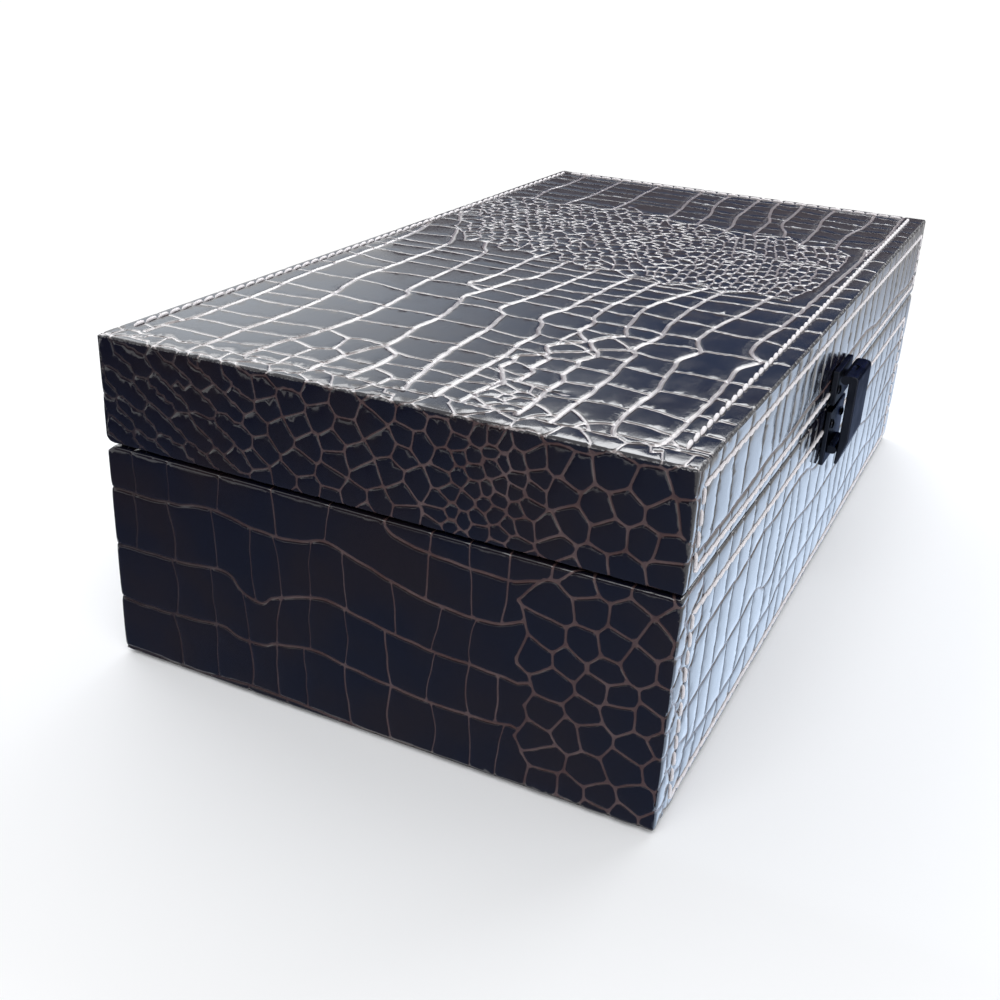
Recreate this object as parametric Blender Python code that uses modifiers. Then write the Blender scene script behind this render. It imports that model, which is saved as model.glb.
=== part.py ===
"""Storage box: boards covered in embossed leather, a velvet lining, a hinged lid and a flip latch.

Metres, +Z up. The origin is the middle of the base, on the surface that the box stands on. The latch is on
the front, which faces -Y, and the lid turns on two butt hinges let into the rear rim.
"""

import math

import bmesh
import bpy
from mathutils import Matrix, Vector

# Outside of the box
box_length = 0.330
box_depth = 0.178
body_height = 0.0710
parting_gap = 0.0015
lid_height = 0.0330

# Layers of a wall, from the outside in
leather = 0.0010
glue_line = 0.0003
wall_board = 0.0070
lining = 0.0024

# Base, floor and lid panels
felt = 0.0010
felt_inset = 0.0020
felt_corner = 0.0030
turn_under = 0.0080
bottom_board = 0.0040
floor_pad = 0.0040
lid_board = 0.0047
lid_pad = 0.0040
top_leather = 0.0012
top_leather_round = 0.0007
board_round = 0.0008
pad_round = 0.0014

# Collar that the lid closes over
collar_rise = 0.0060
collar_round = 0.0006

# Butt hinges in the chamfered rear edge
lid_stop_angle = math.radians(102)
groove_depth = 0.0026
hinge_length = 0.0360
hinge_from_end = 0.0550
knuckle_radius = 0.0017
knuckle_gap = 0.0002
hinge_pin_radius = 0.0008
pin_play = 0.0001
leaf = 0.0007
leaf_reach = 0.0068
leaf_corner = 0.0008
notch_play = 0.0004
knuckles = 5

# Screws of the hinges
hinge_screw_count = 2
hinge_screw_pitch = 0.0220
hinge_screw_reach = 0.0044
sunk_head_radius = 0.0015
screw_shank_radius = 0.0007
screw_point = 0.0008
hinge_screw_length = 0.0075
screw_play = 0.00015

# Flip latch on the front
latch_width = 0.0230
latch_plate_height = 0.0120
latch_plate_out = 0.0024
latch_plate_wall = 0.0008
latch_plate_round = 0.0003
latch_edge_margin = 0.0003
latch_axis_drop = 0.0024
latch_knuckle_radius = 0.0016
latch_knuckle_gap = 0.0007
latch_knuckle_width = 0.0050
latch_side_play = 0.0003
latch_pin_radius = 0.0008
latch_web = 0.0012

# Flap of the latch
flap_reach = 0.0043
flap_wall = 0.0009
flap_bend_radius = 0.0016
flap_straight = 0.0237
flap_lip_drop = 0.0085
flap_lip_inset = 0.0026
flap_flange = 0.0031
flap_edge_round = 0.0004

# Catch plate under the flap
catch_plate_out = 0.0020
catch_top_margin = 0.0006
catch_low_margin = 0.0013
keeper_width = 0.0150
keeper_radius = 0.0014
keeper_rise = 0.0036
snap_play = 0.0004

# Screws of the latch
latch_screw_count = 2
latch_screw_pitch = 0.0150
catch_screw_drop = 0.0055
round_head_radius = 0.0017
round_head_height = 0.0008
latch_screw_length = 0.0065

# How far a cutter runs past what it cuts
overrun = 0.0010

arc_steps = 4
turned_steps = 16
sharp_angle = math.radians(35)
closed_turn = 2 * math.pi
merge_distance = 0.00001
round_profile_share = 0.5

# Levels and depths that follow
half_length = box_length / 2
half_depth = box_depth / 2
wall_skin = leather + glue_line
board_inner = wall_skin + wall_board
lining_outer = board_inner + glue_line
lining_inner = lining_outer + lining
base_level = felt + glue_line
board_low = base_level + wall_skin
floor_level = board_low + bottom_board + glue_line
rim_level = body_height
lid_edge_level = rim_level + parting_gap
lid_top_level = lid_edge_level + lid_height
lid_skin_top = lid_top_level - top_leather - glue_line
lid_board_low = lid_skin_top - lid_board
lid_wall_top = lid_board_low - glue_line
collar_level = rim_level + collar_rise

# The lid's axis: the knuckles are flush with the rear face, and the chamfers meet at the stop angle
axis_level = rim_level + parting_gap / 2
axis_y = half_depth - knuckle_radius
groove_half = knuckle_radius * math.tan(lid_stop_angle / 2)

# The flap's axis and outline, as distances in front of the box and heights
latch_axis_out = latch_plate_out + latch_knuckle_gap + latch_knuckle_radius
latch_plate_top = lid_edge_level + latch_edge_margin + latch_plate_height
latch_axis_level = latch_plate_top - latch_axis_drop
flap_top = latch_axis_level + latch_knuckle_radius
flap_front = latch_axis_out + flap_reach
flap_bend_level = flap_top - flap_straight
flap_tip = (flap_front - flap_lip_inset, flap_bend_level - flap_lip_drop)
flange_rear = flap_front - flap_flange

turns = {"front": 0, "right": math.pi / 2, "rear": math.pi, "left": -math.pi / 2}


def clear_scene():
    for item in list(bpy.data.objects):
        bpy.data.objects.remove(item, do_unlink=True)


def new_collection(name):
    group = bpy.data.collections.new(name)
    bpy.context.scene.collection.children.link(group)
    return group


def new_material(name, colour, roughness, metallic=0):
    made = bpy.data.materials.new(name)
    made.use_nodes = True
    shader = made.node_tree.nodes["Principled BSDF"]
    shader.inputs["Base Color"].default_value = (*colour, 1)
    shader.inputs["Roughness"].default_value = roughness
    shader.inputs["Metallic"].default_value = metallic
    return made


def new_object(name, bm, material=None):
    """The object of a finished mesh: a part if it has a material, and otherwise a cutter."""
    bmesh.ops.recalc_face_normals(bm, faces=bm.faces[:])
    mesh = bpy.data.meshes.new(name)
    bm.to_mesh(mesh)
    bm.free()
    made = bpy.data.objects.new(name, mesh)
    if material:
        mesh.materials.append(material)
        parts.objects.link(made)
    else:
        made.hide_render = True
        made.display_type = "WIRE"
        cutters.objects.link(made)
    return made


def new_axis(name, place, parent=None):
    """An empty on a joint's axis, which carries what turns about it."""
    empty = bpy.data.objects.new(name, None)
    parts.objects.link(empty)
    empty.location = place
    if parent:
        carry(empty, parent)
    return empty


def carry(item, axis):
    """Parents a piece, and the cutters that shape it, to its joint's empty, and leaves them in place."""
    place = axis.location.copy()
    if axis.parent:
        place = axis.matrix_parent_inverse @ place + axis.parent.location
    item.parent = axis
    item.matrix_parent_inverse = Matrix.Translation(place).inverted()
    for step in item.modifiers:
        if step.type == "BOOLEAN":
            carry(step.object, axis)


def smooth(item):
    item.data.shade_smooth()
    item.data.set_sharp_from_angle(angle=sharp_angle)


def boolean(item, operation, others):
    for other in others:
        step = item.modifiers.new(f"{operation.lower()} {other.name}", "BOOLEAN")
        step.operation = operation
        step.object = other


def cut(item, *others):
    boolean(item, "DIFFERENCE", others)


def join(item, *others):
    boolean(item, "UNION", others)


def bevel(item, width, segments=2):
    step = item.modifiers.new("round edges", "BEVEL")
    step.width = width
    step.segments = segments
    step.limit_method = "ANGLE"


def round_corners(item, radius):
    """Rounds the upright edges of a flat sheet."""
    bm = bmesh.new()
    bm.from_mesh(item.data)
    upright = [edge for edge in bm.edges if edge.verts[0].co.xy == edge.verts[1].co.xy]
    bmesh.ops.bevel(
        bm, geom=upright, offset=radius, segments=arc_steps, affect="EDGES", profile=round_profile_share
    )
    bm.to_mesh(item.data)
    bm.free()


def normals_of(path):
    """The unit normal of each stretch of a path, on the left as the path is walked."""
    steps = [(Vector(end) - Vector(start)).normalized() for start, end in zip(path, path[1:])]
    return [Vector((-step.y, step.x)) for step in steps]


def inset(path, distance):
    """The same path, moved to its left by a distance."""
    sides = normals_of(path)
    sides = [sides[0], *sides, sides[-1]]
    moved = []
    for point, before, after in zip(path, sides, sides[1:]):
        moved.append(Vector(point) + (before + after) * distance / (1 + before.dot(after)))
    return moved


def fold(path, thickness, radius):
    """The two faces of a sheet folded along a path: its outer line, and its inner line on the left."""
    sides = normals_of(path)
    outer = [Vector(path[0])]
    inner = [Vector(path[0]) + sides[0] * thickness]
    for centre, before, after in zip(inset(path, radius)[1:-1], sides, sides[1:]):
        bend = before.angle_signed(after)
        for step in range(arc_steps + 1):
            side = before.copy()
            side.rotate(Matrix.Rotation(-bend * step / arc_steps, 2))
            outer.append(centre - side * radius)
            inner.append(centre - side * (radius - thickness))
    outer.append(Vector(path[-1]))
    inner.append(Vector(path[-1]) + sides[-1] * thickness)
    return outer, inner


def folded_section(path, thickness, radius):
    outer, inner = fold(path, thickness, radius)
    return outer + inner[::-1]


def sweep(bm, corners, along):
    """A solid from a flat outline of corners, swept along a vector."""
    outline = bm.faces.new([bm.verts.new(corner) for corner in corners])
    swept = bmesh.ops.extrude_face_region(bm, geom=[outline])["geom"]
    moved = [item for item in swept if isinstance(item, bmesh.types.BMVert)]
    bmesh.ops.translate(bm, verts=moved, vec=along)


def prism(name, outline, width, material=None, middle=0):
    """A solid across the front of the box: an outline of (distance in front, height), and its width."""
    bm = bmesh.new()
    start = middle - width / 2
    sweep(bm, [(start, -half_depth - out, level) for out, level in outline], (width, 0, 0))
    return new_object(name, bm, material)


def box(name, low, high, material=None):
    bm = bmesh.new()
    size = Vector(high) - Vector(low)
    bmesh.ops.create_cube(bm, size=1, matrix=Matrix.Diagonal((*size, 1)))
    bmesh.ops.translate(bm, verts=bm.verts[:], vec=(Vector(low) + Vector(high)) / 2)
    return new_object(name, bm, material)


def rod(name, radius, start, end, place, material=None):
    """A round bar along X from start to end, about an axis through a place."""
    bm = bmesh.new()
    turn = Matrix.Rotation(math.pi / 2, 4, "Y")
    middle = Matrix.Translation(((start + end) / 2, 0, 0))
    bmesh.ops.create_cone(
        bm,
        cap_ends=True,
        segments=turned_steps,
        radius1=radius,
        radius2=radius,
        depth=end - start,
        matrix=middle @ turn,
    )
    made = new_object(name, bm, material)
    made.location = place
    return made


def turned(name, profile, material=None):
    """A solid turned about Z from a profile of (radius, height), which starts and ends on the axis."""
    bm = bmesh.new()
    points = [bm.verts.new((radius, 0, height)) for radius, height in profile]
    for start, end in zip(points, points[1:]):
        bm.edges.new((start, end))
    made = new_object(name, bm, material)
    spin = made.modifiers.new("turn", "SCREW")
    spin.angle = closed_turn
    spin.steps = turned_steps
    spin.render_steps = turned_steps
    spin.use_merge_vertices = True
    spin.merge_threshold = merge_distance
    spin.use_smooth_shade = True
    return made


def screw_row(name, profile, count, pitch, first, tilt):
    """Screws of one kind in a row along X, each its own piece."""
    row = []
    for index in range(count):
        made = turned(f"{name}_{index + 1}", profile, steel)
        made.location = first + Vector((index * pitch, 0, 0))
        made.rotation_euler.x = tilt
        row.append(made)
    return row


def hole_row(name, profile, count, pitch, first, tilt):
    """The cutter of a row of screw holes."""
    made = turned(name, profile)
    made.location = first
    made.rotation_euler.x = tilt
    copies = made.modifiers.new("row", "ARRAY")
    copies.count = count
    copies.use_relative_offset = False
    copies.use_constant_offset = True
    copies.constant_offset_displace = (pitch, 0, 0)
    return made


def flat_box(inset_all_round, low, high):
    """The corners of a panel inside the walls, at a distance from the outside."""
    reach_x = half_length - inset_all_round
    reach_y = half_depth - inset_all_round
    return (-reach_x, -reach_y, low), (reach_x, reach_y, high)


def rail(name, side, section, material):
    """A wall of a frame round the box: a section of (depth from the outside, height) between two mitres."""
    long_wall = side in ("front", "rear")
    across = half_depth if long_wall else half_length
    along = half_length if long_wall else half_depth
    bm = bmesh.new()
    sweep(bm, [(-along, depth - across, level) for depth, level in section], (2 * along, 0, 0))
    for hand in (-1, 1):
        mitre = Vector((hand, 1, 0)).normalized()
        corner = Vector((hand * along, -across, 0)) - mitre * glue_line / 2
        everything = bm.verts[:] + bm.edges[:] + bm.faces[:]
        sawn = bmesh.ops.bisect_plane(
            bm, geom=everything, dist=merge_distance, plane_co=corner, plane_no=mitre, clear_outer=True
        )
        rims = [item for item in sawn["geom_cut"] if isinstance(item, bmesh.types.BMEdge)]
        bmesh.ops.holes_fill(bm, edges=rims)
    made = new_object(name, bm, material)
    made.rotation_euler.z = turns[side]
    return made


def frame(name, section_of, material):
    """The four walls of one layer, each with the section that section_of gives for its side."""
    return {side: rail(name.format(side), side, section_of(side), material) for side in turns}


def body_path(side, under):
    """Outer line of a body wall, from the rim's inner edge, over the rim and down, to under the base."""
    edge = [(0, rim_level)]
    if side == "rear":
        edge = [(groove_depth, rim_level), (0, axis_level - groove_half)]
    return [(board_inner, rim_level), *edge, (0, base_level), (under, base_level)]


def lid_path(side, top):
    """Outer line of a lid wall, from its top down and in under its edge."""
    edge = [(0, lid_edge_level)]
    if side == "rear":
        edge = [(0, axis_level + groove_half), (groove_depth, lid_edge_level)]
    return [(0, top), *edge, (board_inner, lid_edge_level)]


def lining_section(low, high, round_low, round_high):
    """A lining card's section, with the velvet drawn round its free edge."""
    corners = [(lining_outer, low), (lining_inner, low), (lining_inner, high), (lining_outer, high)]
    edges = [round_low, round_low, round_high, round_high]
    ring = [Vector(corner) for corner in corners]
    section = []
    for index, (corner, radius) in enumerate(zip(ring, edges)):
        before = (ring[index - 1] - corner).normalized() * radius
        after = (ring[(index + 1) % len(ring)] - corner).normalized() * radius
        section += [corner + before, corner + after] if radius else [corner]
    return section


def build_body():
    boards = frame("body_{}_board", lambda side: inset(body_path(side, board_inner), wall_skin), board)
    skins = frame(
        "body_{}_leather",
        lambda side: folded_section(body_path(side, turn_under), leather, wall_skin),
        black_leather,
    )
    frame("body_{}_lining", lambda side: lining_section(floor_level, collar_level, 0, collar_round), velvet)
    box("bottom_board", *flat_box(lining_outer, board_low, board_low + bottom_board), board)
    pad = box("floor_pad", *flat_box(lining_inner + glue_line, floor_level, floor_level + floor_pad), velvet)
    bevel(pad, pad_round, segments=3)
    sheet = box("base_felt", *flat_box(felt_inset, 0, felt), felt_cloth)
    round_corners(sheet, felt_corner)
    return boards, skins


def build_lid():
    def board_section(side):
        return [*inset(lid_path(side, lid_wall_top), wall_skin), (board_inner, lid_wall_top)]

    boards = frame("lid_{}_board", board_section, board)
    skins = frame(
        "lid_{}_leather",
        lambda side: folded_section(lid_path(side, lid_skin_top), leather, wall_skin),
        black_leather,
    )
    linings = frame(
        "lid_{}_lining",
        lambda side: lining_section(collar_level + glue_line, lid_wall_top, collar_round, 0),
        velvet,
    )
    top = box("lid_top_board", *flat_box(wall_skin, lid_board_low, lid_skin_top), board)
    bevel(top, board_round)
    skin = box("lid_top_leather", *flat_box(0, lid_skin_top + glue_line, lid_top_level), black_leather)
    round_corners(skin, wall_skin)
    bevel(skin, top_leather_round)
    pad = box("lid_pad", *flat_box(lining_inner + glue_line, lid_wall_top - lid_pad, lid_wall_top), velvet)
    bevel(pad, pad_round, segments=3)
    return boards, skins, [*boards.values(), *skins.values(), *linings.values(), top, skin, pad]


def cut_groove(name, skins):
    """Cuts the rear edge's V through the leather of both ends of the body or the lid."""
    slope = (rim_level - axis_level + groove_half) / groove_depth
    spread = groove_half + overrun * slope
    outline = [
        (half_depth - groove_depth, rim_level),
        (half_depth + overrun, axis_level - spread),
        (half_depth + overrun, axis_level + spread),
        (half_depth - groove_depth, lid_edge_level),
    ]
    reach = half_length + overrun
    bm = bmesh.new()
    sweep(bm, [(-reach, y, level) for y, level in outline], (2 * reach, 0, 0))
    groove = new_object(name, bm)
    cut(skins["left"], groove)
    cut(skins["right"], groove)


def knuckle_spans(leaf_turn):
    """The stretches of the hinge that one leaf's knuckles hold: 0 for the body's leaf, 1 for the lid's."""
    pitch = hinge_length / knuckles
    starts = [index * pitch - hinge_length / 2 for index in range(leaf_turn, knuckles, 2)]
    return [(start + knuckle_gap / 2, start + pitch - knuckle_gap / 2) for start in starts]


def build_leaf(name, upward, leaf_turn, place):
    """A hinge leaf: a plate in the rim and the knuckles that its edge is rolled into."""
    plate_rear = -knuckle_radius - knuckle_gap
    low, high = sorted((upward * knuckle_radius, upward * (knuckle_radius - leaf)))
    made = box(name, (-hinge_length / 2, -leaf_reach, low), (hinge_length / 2, plate_rear, high), steel)
    round_corners(made, leaf_corner)
    made.location = place
    for index, (start, end) in enumerate(knuckle_spans(leaf_turn)):
        barrel = rod(f"{name}_barrel_{index}", knuckle_radius, start, end, place)
        tongue = box(f"{name}_tongue_{index}", (start, plate_rear - leaf_corner * 2, low), (end, 0, high))
        tongue.location = place
        join(made, tongue, barrel)
    bore = rod(f"{name}_bore", hinge_pin_radius + pin_play, -hinge_length, hinge_length, place)
    cut(made, bore)
    return made


def sunk_screw_profile(play=0, above=0):
    """A countersunk screw from its head down; play and above widen and lengthen it into a cutter."""
    head = sunk_head_radius + play
    shank = screw_shank_radius + play
    tip = -hinge_screw_length - play
    profile = [(0, above)] if above else []
    return [
        *profile,
        *([(head, above), (head, 0)] if above else [(0, 0), (head, 0)]),
        (shank, -leaf),
        (shank, tip + screw_point),
        (0, tip),
    ]


def cut_notch(name, skin, middle):
    """Trims the leather of a rear rim away round a hinge."""
    reach = hinge_length / 2 + notch_play
    spread = groove_half + notch_play
    notch = box(
        name, (-reach, -leaf_reach - notch_play, -spread), (reach, knuckle_radius + overrun, spread)
    )
    notch.location = middle
    cut(skin, notch)


def build_hinge(side, hand, walls, skins):
    """A butt hinge: its pin, and a leaf with its screws in each of the two rear walls."""
    middle = Vector((hand * (half_length - hinge_from_end), axis_y, axis_level))
    pin_reach = hinge_length / 2
    pin = rod(f"{side}_hinge_pin", hinge_pin_radius, -pin_reach, pin_reach, middle, steel)
    smooth(pin)
    lid_pieces = []
    for upward, owner, wall, skin in zip((-1, 1), ("body", "lid"), walls, skins):
        cut_notch(f"{side}_hinge_{owner}_notch", skin, middle)
        made = build_leaf(f"{side}_hinge_{owner}_leaf", upward, int(upward > 0), middle)
        head_level = upward * (knuckle_radius - leaf)
        first = (1 - hinge_screw_count) * hinge_screw_pitch / 2
        place = middle + Vector((first, -hinge_screw_reach, head_level))
        tilt = math.pi if upward > 0 else 0
        row = (hinge_screw_count, hinge_screw_pitch, place, tilt)
        screws = screw_row(f"{side}_hinge_{owner}_screw", sunk_screw_profile(), *row)
        holes = hole_row(f"{side}_hinge_{owner}_holes", sunk_screw_profile(screw_play, overrun), *row)
        cut(made, holes)
        cut(wall, holes)
        if upward > 0:
            lid_pieces = [made, *screws]
    return lid_pieces


def pan(name, low_out, high_out, low, high, width, material):
    """A pressed plate: a shallow tray, open towards the box."""
    bm = bmesh.new()
    size = Vector((width, high_out - low_out, high - low))
    bmesh.ops.create_cube(bm, size=1, matrix=Matrix.Diagonal((*size, 1)))
    back = max(bm.faces, key=lambda face: face.normal.y)
    bmesh.ops.delete(bm, geom=[back], context="FACES_ONLY")
    centre = Vector((0, -half_depth - (low_out + high_out) / 2, (low + high) / 2))
    bmesh.ops.translate(bm, verts=bm.verts[:], vec=centre)
    made = new_object(name, bm, material)
    shell = made.modifiers.new("wall", "SOLIDIFY")
    shell.thickness = latch_plate_wall
    shell.offset = -1
    shell.use_even_offset = True
    bevel(made, latch_plate_round)
    return made


def round_screw_profile(play=0):
    """A round-headed screw, head up; with play it becomes the cutter of its hole."""
    shank = screw_shank_radius + play
    tip = -latch_screw_length - play
    foot = [(shank, tip + screw_point), (0, tip)]
    if play:
        return [(0, overrun), (shank, overrun), *foot]
    dome = []
    for step in range(arc_steps + 1):
        angle = math.pi / 2 * step / arc_steps
        dome.append((round_head_radius * math.sin(angle), round_head_height * math.cos(angle)))
    return [*dome, (shank, 0), *foot]


def fasten_plate(name, plate, plate_out, level, behind):
    """Two screws through a latch plate into the wall behind it, and their holes."""
    place = Vector(((1 - latch_screw_count) * latch_screw_pitch / 2, -half_depth - plate_out - screw_play, level))
    row = (latch_screw_count, latch_screw_pitch, place, math.pi / 2)
    holes = hole_row(f"{name}_holes", round_screw_profile(screw_play), *row)
    for item in (plate, *behind):
        cut(item, holes)
    return screw_row(name, round_screw_profile(), *row)


def latch_axis_point():
    return Vector((0, -half_depth - latch_axis_out, latch_axis_level))


def build_latch_lid_plate(lid_board_front, lid_skin_front):
    """The plate on the lid, with the middle knuckle of the flap's hinge."""
    low = lid_edge_level + latch_edge_margin
    plate = pan("latch_lid_plate", glue_line, latch_plate_out, low, latch_plate_top, latch_width, gunmetal)
    half = latch_knuckle_width / 2
    barrel = rod("latch_middle_knuckle", latch_knuckle_radius, -half, half, latch_axis_point())
    web_low = latch_axis_level - latch_knuckle_radius
    web_rear = latch_plate_out - latch_plate_wall / 2
    web = prism(
        "latch_knuckle_web",
        [
            (web_rear, web_low),
            (latch_axis_out, web_low),
            (latch_axis_out, web_low + latch_web),
            (web_rear, web_low + latch_web),
        ],
        latch_knuckle_width,
    )
    reach = latch_width
    bore = rod("latch_plate_bore", latch_pin_radius + pin_play, -reach, reach, latch_axis_point())
    join(plate, web, barrel)
    cut(plate, bore)
    pin_reach = latch_width / 2 - flap_wall - latch_side_play
    pin = rod("latch_pin", latch_pin_radius, -pin_reach, pin_reach, latch_axis_point(), steel)
    smooth(pin)
    level = low + (latch_plate_height - latch_axis_drop) / 2
    behind = (lid_board_front, lid_skin_front)
    return [plate, pin, *fasten_plate("latch_lid_screw", plate, latch_plate_out, level, behind)]


def flap_path(past_tip, rear):
    """Outer line of the flap, from its lip up the front and back over the top."""
    tip, bend = Vector(flap_tip), Vector((flap_front, flap_bend_level))
    start = tip + (tip - bend).normalized() * past_tip
    return [start, bend, (flap_front, flap_top), (rear, flap_top)]


def build_flap():
    """The flap: a pressed cover with side flanges, rolled round its pin at the top."""
    outer, inner = fold(flap_path(0, flange_rear), flap_wall, flap_bend_radius)
    flap = prism("latch_flap", [*outer, (flange_rear, flap_bend_level), inner[0]], latch_width, gunmetal)
    bevel(flap, flap_edge_round)
    hollow_rear = flange_rear - overrun
    hollow = fold(flap_path(overrun, hollow_rear), flap_wall, flap_bend_radius)[1]
    hollow.append(Vector((hollow_rear, hollow[0].y)))
    cut(flap, prism("flap_hollow", hollow, latch_width - 2 * flap_wall))
    gap = latch_knuckle_width / 2 + latch_side_play
    top_low = flap_top - flap_wall
    for name, hand in (("left", -1), ("right", 1)):
        start, end = sorted((hand * gap, hand * latch_width / 2))
        barrel = rod(f"flap_{name}_knuckle", latch_knuckle_radius, start, end, latch_axis_point())
        top = prism(
            f"flap_{name}_top",
            [
                (latch_axis_out, top_low),
                (flange_rear + flap_wall, top_low),
                (flange_rear + flap_wall, flap_top),
                (latch_axis_out, flap_top),
            ],
            end - start,
            middle=(start + end) / 2,
        )
        join(flap, top, barrel)
    bore_reach = latch_width / 2 - flap_wall
    bore = rod("flap_bore", latch_pin_radius + pin_play, -bore_reach, bore_reach, latch_axis_point())
    notch_front = latch_axis_out + latch_knuckle_radius + latch_side_play
    notch = prism(
        "flap_notch",
        [
            (latch_plate_out, top_low - overrun),
            (notch_front, top_low - overrun),
            (notch_front, flap_top + overrun),
            (latch_plate_out, flap_top + overrun),
        ],
        2 * gap,
    )
    cut(flap, bore, notch)
    return flap


def build_catch(body_board_front, body_skin_front):
    """The plate on the body, with the ridge that the flap's lip snaps over."""
    low = flap_tip[1] - catch_low_margin
    high = rim_level - catch_top_margin
    plate = pan("latch_catch_plate", glue_line, catch_plate_out, low, high, latch_width, gunmetal)
    lip = inset(flap_path(0, flange_rear), flap_wall)[0]
    centre = Vector((lip.x - snap_play - keeper_radius, flap_tip[1] + keeper_rise))
    root = catch_plate_out - latch_plate_wall / 2
    nose = []
    for step in range(2 * arc_steps + 1):
        angle = math.pi * (step / (2 * arc_steps) - 1 / 2)
        nose.append(centre + keeper_radius * Vector((math.cos(angle), math.sin(angle))))
    keeper = prism(
        "keeper_ridge", [(root, centre.y - keeper_radius), *nose, (root, centre.y + keeper_radius)], keeper_width
    )
    join(plate, keeper)
    level = high - catch_screw_drop
    fasten_plate("latch_catch_screw", plate, catch_plate_out, level, (body_board_front, body_skin_front))


clear_scene()
parts = new_collection("storage_box")
cutters = new_collection("cutters")
black_leather = new_material("embossed_leather", (0.018, 0.016, 0.020), 0.28)
board = new_material("fibreboard", (0.28, 0.17, 0.09), 0.85)
velvet = new_material("velvet", (0.10, 0.055, 0.042), 0.95)
felt_cloth = new_material("base_felt", (0.025, 0.024, 0.026), 0.97)
gunmetal = new_material("gunmetal", (0.075, 0.078, 0.088), 0.30, 1)
steel = new_material("hinge_steel", (0.30, 0.30, 0.31), 0.35, 1)

lid_axis = new_axis("lid_axis", (0, axis_y, axis_level))
flap_axis = new_axis("flap_axis", latch_axis_point(), lid_axis)

body_boards, body_skins = build_body()
lid_boards, lid_skins, lid_pieces = build_lid()
cut_groove("body_groove", body_skins)
cut_groove("lid_groove", lid_skins)
rear_walls = (body_boards["rear"], lid_boards["rear"])
rear_skins = (body_skins["rear"], lid_skins["rear"])
for hinge_side, hinge_hand in (("left", -1), ("right", 1)):
    lid_pieces += build_hinge(hinge_side, hinge_hand, rear_walls, rear_skins)
lid_pieces += build_latch_lid_plate(lid_boards["front"], lid_skins["front"])
for lid_piece in lid_pieces:
    carry(lid_piece, lid_axis)
carry(build_flap(), flap_axis)
build_catch(body_boards["front"], body_skins["front"])
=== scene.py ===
"""Looks of the storage box: embossed leather, stitching, velvet and metal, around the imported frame.

Metres, +Z up, in the frame's axes: the latch is on the front, which faces -Y. The leather's pattern is
drawn on flat maps in millimetres: s runs along a map and v across it. The map of the lid's top starts at
its front left corner. On the maps that run round the walls, s is 0 at the front left corner and v is the
height, carried on past the folded edges.
"""

import math

import bpy
import numpy as np
from mathutils import Matrix, Vector, noise
from mathutils.geometry import delaunay_2d_cdt
from mathutils.kdtree import KDTree


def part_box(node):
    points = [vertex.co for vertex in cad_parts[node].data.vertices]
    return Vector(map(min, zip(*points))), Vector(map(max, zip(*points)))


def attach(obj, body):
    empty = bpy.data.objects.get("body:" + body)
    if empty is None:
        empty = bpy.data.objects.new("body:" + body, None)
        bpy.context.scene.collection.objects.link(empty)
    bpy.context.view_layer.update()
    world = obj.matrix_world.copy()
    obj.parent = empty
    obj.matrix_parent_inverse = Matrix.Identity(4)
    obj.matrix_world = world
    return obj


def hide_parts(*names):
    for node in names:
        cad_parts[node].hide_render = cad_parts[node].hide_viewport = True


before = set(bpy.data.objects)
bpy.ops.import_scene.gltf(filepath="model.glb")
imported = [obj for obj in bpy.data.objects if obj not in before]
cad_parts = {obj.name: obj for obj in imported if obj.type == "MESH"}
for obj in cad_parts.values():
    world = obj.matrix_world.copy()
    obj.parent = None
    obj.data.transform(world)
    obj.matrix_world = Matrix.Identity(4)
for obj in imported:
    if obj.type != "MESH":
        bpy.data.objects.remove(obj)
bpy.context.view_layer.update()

mm = 0.001
chance = np.random.default_rng(41)

# Sizes read from the frame, in millimetres
top_low, top_high = (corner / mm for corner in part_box("lid_top_leather"))
body_low, body_high = (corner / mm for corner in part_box("body_front_leather"))
lid_low, lid_high = (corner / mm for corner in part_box("lid_front_leather"))
box_length = top_high.x - top_low.x
box_depth = top_high.y - top_low.y
fold_in = body_high.y - body_low.y

# Shape of the skins, as in the solids
turn_under = 8.0
leather = 1.0
fold_radius = 0.9
corner_radius = 1.2
corner_cut = corner_radius * (1 - math.sqrt(0.5))
top_edge_radius = 0.7
top_corner_radius = 1.3
wall_top_rise = 0.7
groove_depth = 2.6
groove_drop = 1.35
hinge_places = (-110, 110)
notch_half = 18.4
notch_drop = 1.75
fold_steps = 8
corner_shares = (0.35, 0.5, 0.7, 1.0)
top_edge_shares = (0.05, 0.15, 0.3, 0.6, 1.0, 1.5)
level_step = 2.0

# Creases: half width and depth, where their sides start and end, and the scales between them
creases = {"main": (0.64, 0.42), "cross": (0.32, 0.22), "fine": (0.42, 0.34), "knot": (0.6, 0.3)}
crease_sides = np.array([0.15, 1.2])
seam_half = 1.7
seam_depth = 0.25
seam_sides = np.array([0.2, 1.0])
top_crown = 0.06
wall_crown = 0.24
crown_reach = 1.5
thin_edge = 0.3
far_off = 10.0
seam_lines = (0, 0.45 * seam_half, seam_half)

# Small scales, as shares of their pitch: places along a long one, their spread, and room between them
places_share = 2.2
spread_share = 0.62
apart_share = 0.55
rim_share = 0.3
mirror_share = 1.6
zone_rim_pitch = 1.0

# Where other creases meet those of the small scales, and how far a crease sways from its line
longest_crease = 25
rim_overlap = 1.6
join_reach = 5.0
joined_gap = 0.5
cut_gap = 1.0
rung_strengths = (0.75, 1.15)
rung_spread_share = 0.1
wave_length = 6
wave_height = 0.45

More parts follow.
